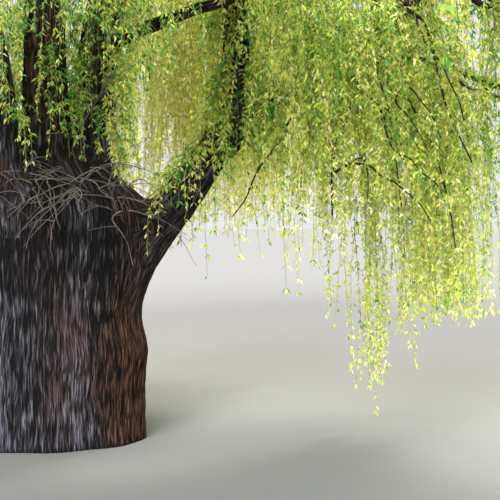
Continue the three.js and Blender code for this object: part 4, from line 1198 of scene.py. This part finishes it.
class WillowBark(bpy.types.PropertyGroup):
    furrow_spacing: bpy.props.FloatProperty(
        name="Furrow spacing", description="Distance between furrows round the trunk", default=0.0115,
        unit="LENGTH")
    furrow_depth: bpy.props.FloatProperty(
        name="Furrow depth", description="Depth of the trunk's furrows", default=0.014, unit="LENGTH")
    # Near black in the furrows: partly the bark's own colour, partly painted shade.
    furrow: bpy.props.FloatVectorProperty(
        name="Furrow", description="Colour in the furrows", default=(0.0035, 0.003, 0.003), subtype="COLOR")
    body: bpy.props.FloatVectorProperty(
        name="Body", description="Colour between furrow and ridge", default=(0.031, 0.0275, 0.031),
        subtype="COLOR")
    # The ridges' bluish grey is partly a painted highlight.
    ridge: bpy.props.FloatVectorProperty(
        name="Ridge", description="Colour of the ridges", default=(0.107, 0.106, 0.14), subtype="COLOR")
    warm: bpy.props.FloatVectorProperty(
        name="Warm", description="Colour of the warmer patches",
        default=(0.085, 0.042, 0.028), subtype="COLOR")


class WillowFoliage(bpy.types.PropertyGroup):
    per_tuft: bpy.props.IntProperty(
        name="Leaves in a tuft", description="Usual number of leaves in a tuft", default=5, min=2, max=8)
    glow: bpy.props.FloatProperty(
        name="Light through", description="Share of light that a leaf lets through", default=0.62,
        subtype="FACTOR")
    # Palest young leaves, partly a painted highlight.
    cream_and_highlight: bpy.props.FloatVectorProperty(
        name="Cream", description="Palest young leaves", default=(0.93, 0.92, 0.5), subtype="COLOR")
    yellow: bpy.props.FloatVectorProperty(
        name="Yellow", description="Young leaves", default=(0.88, 0.85, 0.17), subtype="COLOR")
    lime: bpy.props.FloatVectorProperty(
        name="Lime", description="Leaves of the outer curtain", default=(0.66, 0.80, 0.15), subtype="COLOR")
    fresh: bpy.props.FloatVectorProperty(
        name="Fresh green", description="Open leaves", default=(0.34, 0.61, 0.12), subtype="COLOR")
    deep: bpy.props.FloatVectorProperty(
        name="Deep green", description="Leaves within the crown",
        default=(0.095, 0.34, 0.065), subtype="COLOR")
    twig: bpy.props.FloatVectorProperty(
        name="Twig", description="Colour of the hanging twigs", default=(0.24, 0.17, 0.07), subtype="COLOR")
    young: bpy.props.FloatVectorProperty(
        name="Young twig", description="Colour of the leafy strands",
        default=(0.42, 0.36, 0.1), subtype="COLOR")
    shoot: bpy.props.FloatVectorProperty(
        name="Bare shoot", description="Colour of the bare shoots",
        default=(0.14, 0.112, 0.094), subtype="COLOR")


class WillowStage(bpy.types.PropertyGroup):
    floor: bpy.props.FloatVectorProperty(
        name="Floor", description="Colour of the floor", default=(0.2, 0.2, 0.202), subtype="COLOR")
    sky: bpy.props.FloatProperty(
        name="Sky", description="Strength of the soft light all round", default=0.86)
    eye: bpy.props.FloatVectorProperty(
        name="Camera", description="Where the camera stands", default=(1.45, -9.5, 1.5), unit="LENGTH")
    dip: bpy.props.FloatProperty(
        name="Dip", description="How far the camera looks down",
        default=math.radians(1.07), subtype="ANGLE")
    lens: bpy.props.FloatProperty(name="Lens", description="Focal length in millimetres", default=96.8)


# Operators.

class WILLOW_OT_trunk(bpy.types.Operator):
    """Make the trunk's furrowed bark"""

    bl_idname = "willow.trunk"
    bl_label = "Trunk"

    def execute(self, context):
        vertices, triangles, *facts = trunk_skin(context.scene.willow_bark)
        material = bark_material(context.scene.willow_bark)
        piece = mesh_object("trunk_bark", vertices, triangles, material, dict(zip(BARK_FACTS, facts)))
        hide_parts("trunk")
        return {"FINISHED"}


class WILLOW_OT_boughs(bpy.types.Operator):
    """Make the bark of the stems, boughs and branches"""

    bl_idname = "willow.boughs"
    bl_label = "Boughs"

    def execute(self, context):
        parts = junction_parts()
        made = []
        routes = [*LIMBS.values(), *((route, radii) for radii, route in BRANCHES)]
        for index, (route, radii) in enumerate(routes):
            made += bough_skin(route, radii, index, parts, context.scene.willow_bark)
        vertices, triangles = joined([(piece[0], piece[1]) for piece in made])
        facts = (np.concatenate([piece[k] for piece in made]) for k in (2, 3, 4))
        material = bpy.data.materials["furrowed_bark"]
        piece = mesh_object("bough_bark", vertices, triangles, material, dict(zip(BARK_FACTS, facts)))
        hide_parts(*LIMB_NODES)
        return {"FINISHED"}


# Knots that the bare shoots spring from: heading, height, how many, and the share that lean to the left.
KNOTS = ((-58, 1.77, 14, 0.85), (-36, 1.63, 8, 0.75), (-80, 1.8, 7, 0.7), (-118, 1.76, 6, 0.5))
KNOT_DEPTH, KNOT_SIZE = 0.03, 0.05
WHIP_SEED, WHIP_STEPS, WHIP_TAPER, WHIP_CLEAR = 71, 9, 0.35, 0.03
WHIP_RADIUS, FORK_RADIUS, WHIP_SIDES, WHIP_DARKER = 0.0052, 0.0034, 4, 0.35
WHIP_CURL, WHIP_WAVE, WHIP_WAVES = 0.3, 0.04, 1.3
WHIP_LENGTH, WHIP_CLIMB, WHIP_DROOP = (0.22, 0.75), (-0.3, 1.0), (0.1, 0.8)
FORK_LENGTH, FORK_CLIMB, FORK_DROOP, FORK_SWING = (0.3, 0.6), (-0.7, 0.9), (0, 0.8), (0.35, 1.1)
FORKS = ((3, 5), (4, 7))  # the steps of a shoot at which its forks leave it


def whips(start, way, length, climb, droop, rng):
    """Bare shoots that leave along their ways, rise or fall, and curl, clear of the trunk."""
    t = np.linspace(0, 1, WHIP_STEPS)[None, :, None]
    count = len(start)
    beside = aside(way)
    curl = rng.normal(0, WHIP_CURL, (count, 1, 1)) * t**2
    curl = curl + WHIP_WAVE * np.sin(math.tau * (WHIP_WAVES * t + rng.uniform(0, 1, (count, 1, 1))))
    paths = start[:, None] + length[:, None, None] * (t * way[:, None] + curl * beside[:, None])
    paths[..., 2] += length[:, None] * (climb[:, None] * t[..., 0] - droop[:, None] * t[..., 0] ** 2)
    radius, angle = round_middle(paths)
    least = trunk_radius(angle, np.minimum(paths[..., 2], TRUNK_TOP)) + WHIP_CLEAR
    least = least * (paths[..., 2] < TRUNK_TOP)
    paths[:, 1:, :2] *= np.maximum(1, least / radius)[:, 1:, None]
    return paths, beside


class WILLOW_OT_shoots(bpy.types.Operator):
    """Make the bare shoots on the trunk's shoulder"""

    bl_idname = "willow.shoots"
    bl_label = "Bare shoots"

    def execute(self, context):
        rng = np.random.default_rng(WHIP_SEED)
        made = []
        for heading, height, count, leftward in KNOTS:
            root = polar(heading, float(trunk_radius(math.radians(heading), height)) - KNOT_DEPTH, height)
            start = root + rng.normal(0, KNOT_SIZE, (count, 3))
            side = np.where(rng.uniform(size=count) < leftward, -1, 1)
            turn = math.radians(heading) + side * rng.uniform(0.2, 1.0 - 0.7 * side.min(), count)
            length = rng.uniform(*WHIP_LENGTH, count)
            climb, droop = rng.uniform(*WHIP_CLIMB, count), rng.uniform(*WHIP_DROOP, count)
            paths, beside = whips(start, level_way(turn), length, climb, droop, rng)
            made.append((paths, beside, WHIP_RADIUS))
            for early, late in FORKS:
                where = rng.integers(early, late, count)
                fork = paths[np.arange(count), where]
                swing = turn + rng.choice((-1, 1), count) * rng.uniform(*FORK_SWING, count)
                rise, fall = rng.uniform(*FORK_CLIMB, count), rng.uniform(*FORK_DROOP, count)
                short = length * rng.uniform(*FORK_LENGTH, count)
                made.append((*whips(fork, level_way(swing), short, rise, fall, rng), FORK_RADIUS))
        taper = np.linspace(1, WHIP_TAPER, WHIP_STEPS)
        parts = [tubes(paths, np.full((len(paths), 1), size) * taper, beside, WHIP_SIDES)
                 for paths, beside, size in made]
        material = twig_material("bare_shoot", context.scene.willow_foliage.shoot, WHIP_DARKER)
        piece = mesh_object("bare_shoots", *joined(parts), material)
        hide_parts("trunk_shoots")
        return {"FINISHED"}


def foliage_piece(name, made, material):
    """A piece that stands, with others, for the masses of foliage."""
    piece = mesh_object(name, *made, material)
    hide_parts(*MASS_NODES)


LIMB_SPACING = 0.06  # between the points of a limb that strands keep clear of
NEAR_RADIUS, FAR_RADIUS = 0.003, 0.005  # of a strand
STEM_SIDES, TWIG_SIDES, STRAND_SIDES = 8, 4, 3
STEM_THINS, TWIG_THINS, STRAND_THINS = 0.6, 0.3, 0.35  # thickness at the end against the start
TWIG_DARKER = 0.4


def grown():
    """All the strands of the tree, gathered, and the tubes of its stems and twigs."""
    limb_places, limb_sizes = limb_samples(LIMB_SPACING)
    strands, wood, upright = Strands(), [], point(0, 0, 1)
    for mass in all_masses():
        kind, rng = mass.kind, np.random.default_rng((CROWN_SEED, mass.index))
        stem, lines, sizes = mass.twig_lines(rng)
        line = curve_points(stem, TWIG_STEPS)
        taper = mass.stem_radius * np.linspace(1, STEM_THINS * STEM_TAPER, TWIG_STEPS)
        wood.append(tubes(line[None], taper[None], np.cross(line[-1:] - line[:1], upright), STEM_SIDES))
        paths = np.array(lines)
        taper = np.array(sizes)[:, None] * np.linspace(1, TWIG_THINS, TWIG_STEPS)
        wood.append(tubes(paths, taper, np.cross(paths[:, 4] - paths[:, 0], upright), TWIG_SIDES))
        strands.add(
            *strands_of_mass(mass, [*lines, line, line], limb_places, limb_sizes, rng),
            radius=NEAR_RADIUS if kind["fine"] else FAR_RADIUS,
            tufts=kind["tufts"], leaf=kind["leaf"], fine=kind["fine"], yellow=kind["yellow"])
    return strands, wood


class WILLOW_OT_curtains(bpy.types.Operator):
    """Grow the stems, twigs, strands and leaves of every mass"""

    bl_idname = "willow.curtains"
    bl_label = "Curtains of leaves"

    def execute(self, context):
        settings = context.scene.willow_foliage
        strands, wood = grown()
        rng = np.random.default_rng(CROWN_SEED)
        add_limb_shoots(strands, rng)
        strands = strands.stacked()
        tufts = Tufts(strands, rng)
        radii = strands["radius"][:, None] * np.linspace(1, STRAND_THINS, STRAND_STEPS)
        fine = strands["fine"].astype(bool)
        strand_mesh = joined([
            tubes(strands["paths"][which][:, steps], radii[which][:, steps], strands["beside"][which],
                  STRAND_SIDES)
            for which, steps in ((fine, range(STRAND_STEPS)), (~fine, FAR_STEPS))
        ])
        twig = twig_material("hanging_twig", settings.twig, TWIG_DARKER)
        young_twig = twig_material("young_twig", settings.young, TWIG_DARKER)
        foliage_piece("twigs", joined(wood), twig)
        foliage_piece("strands", strand_mesh, young_twig)
        foliage_piece("sprigs", tufts.sprigs(), young_twig)
        *facts, full, shade, strand = leaves_on(tufts, strands, settings.per_tuft, rng)
        for number, name in enumerate(LEAF_SHADES):
            material = leaf_material("leaf_" + name, getattr(settings, name), settings.glow)
            for place, near in (("curtain", fine[strand]), ("crown", ~fine[strand])):
                parts = []
                for kind, shape in ((full, FINE_SHAPE), (~full, SIMPLE_SHAPE)):
                    base, way, face, length = (fact[(shade == number) & near & kind] for fact in facts)
                    parts.append(leaf_mesh(base, way, face, length, LEAF_WIDTH * length, shape))
                foliage_piece(f"leaves_{name}_{place}", joined(parts), material)
        return {"FINISHED"}


FLOOR_RADIUS, FLOOR_SIDES, FLOOR_ROUGHNESS = 500, 96, 0.9
SKY_COLOUR = (0.97, 0.98, 1.0)
SENSOR = 36  # millimetres
# Soft lights: the heading and height that each shines from, strength, softness and colour.
SUNS = (
    ("back_light", (60, 42), 9.5, 14, (1.0, 0.97, 0.88)),
    ("front_light", (258, 26), 7.6, 24, (0.96, 0.97, 1.0)),
)


class WILLOW_OT_stage(bpy.types.Operator):
    """Set the floor, the soft light and the camera"""

    bl_idname = "willow.stage"
    bl_label = "Floor, light and camera"

    def execute(self, context):
        stage = context.scene.willow_stage
        bpy.ops.mesh.primitive_circle_add(
            vertices=FLOOR_SIDES, radius=FLOOR_RADIUS, fill_type="NGON", location=(0, 0, 0))
        floor = context.object
        floor.name = "floor"
        material, _, shader = new_material("pale_floor", FLOOR_ROUGHNESS)
        shader.inputs["Base Color"].default_value = (*stage.floor, 1)
        shader.inputs["Specular IOR Level"].default_value = 0
        floor.data.materials.append(material)
        world = bpy.data.worlds.new("soft_sky")
        world.use_nodes = True
        background = world.node_tree.nodes["Background"]
        background.inputs["Color"].default_value = (*SKY_COLOUR, 1)
        background.inputs["Strength"].default_value = stage.sky
        context.scene.world = world
        for name, towards, strength, softness, colour in SUNS:
            light = bpy.data.lights.new(name, "SUN")
            light.energy, light.angle, light.color = strength, math.radians(softness), colour
            lamp = bpy.data.objects.new(name, light)
            heading, height = towards
            lamp.rotation_euler = (math.radians(90 - height), 0, math.radians(heading + 90))
            context.scene.collection.objects.link(lamp)
        camera = bpy.data.objects.new("camera", bpy.data.cameras.new("camera"))
        camera.data.lens = stage.lens
        camera.data.sensor_width = SENSOR
        camera.location = stage.eye
        camera.rotation_euler = (math.radians(90) - stage.dip, 0, 0)
        context.scene.collection.objects.link(camera)
        context.scene.camera = camera
        context.scene.view_settings.view_transform = "Standard"
        return {"FINISHED"}


class WILLOW_PT_panel(bpy.types.Panel):
    """The willow's settings and pieces"""

    bl_label = "Willow"
    bl_idname = "WILLOW_PT_panel"
    bl_space_type = "VIEW_3D"
    bl_region_type = "UI"
    bl_category = "Willow"

    def draw(self, context):
        for key, group, operators in PANEL_ROWS:
            box = self.layout.box()
            for name in group.__annotations__:
                box.prop(getattr(context.scene, key), name)
            for operator in operators:
                box.operator(operator)


PANEL_ROWS = (
    ("willow_bark", WillowBark, ("willow.trunk", "willow.boughs")),
    ("willow_foliage", WillowFoliage, ("willow.shoots", "willow.curtains")),
    ("willow_stage", WillowStage, ("willow.stage",)),
)
CLASSES = (
    WillowBark, WillowFoliage, WillowStage, WILLOW_OT_trunk, WILLOW_OT_boughs, WILLOW_OT_shoots,
    WILLOW_OT_curtains, WILLOW_OT_stage, WILLOW_PT_panel,
)


def register():
    for cls in CLASSES:
        bpy.utils.register_class(cls)
    for key, group, _ in PANEL_ROWS:
        setattr(bpy.types.Scene, key, bpy.props.PointerProperty(type=group))


def unregister():
    for key, _, _ in PANEL_ROWS:
        delattr(bpy.types.Scene, key)
    for cls in reversed(CLASSES):
        bpy.utils.unregister_class(cls)


def main():
    register()
    for _, _, operators in PANEL_ROWS:
        for operator in operators:
            group, name = operator.split(".")
            getattr(getattr(bpy.ops, group), name)()


if __name__ == "__main__":
    main()
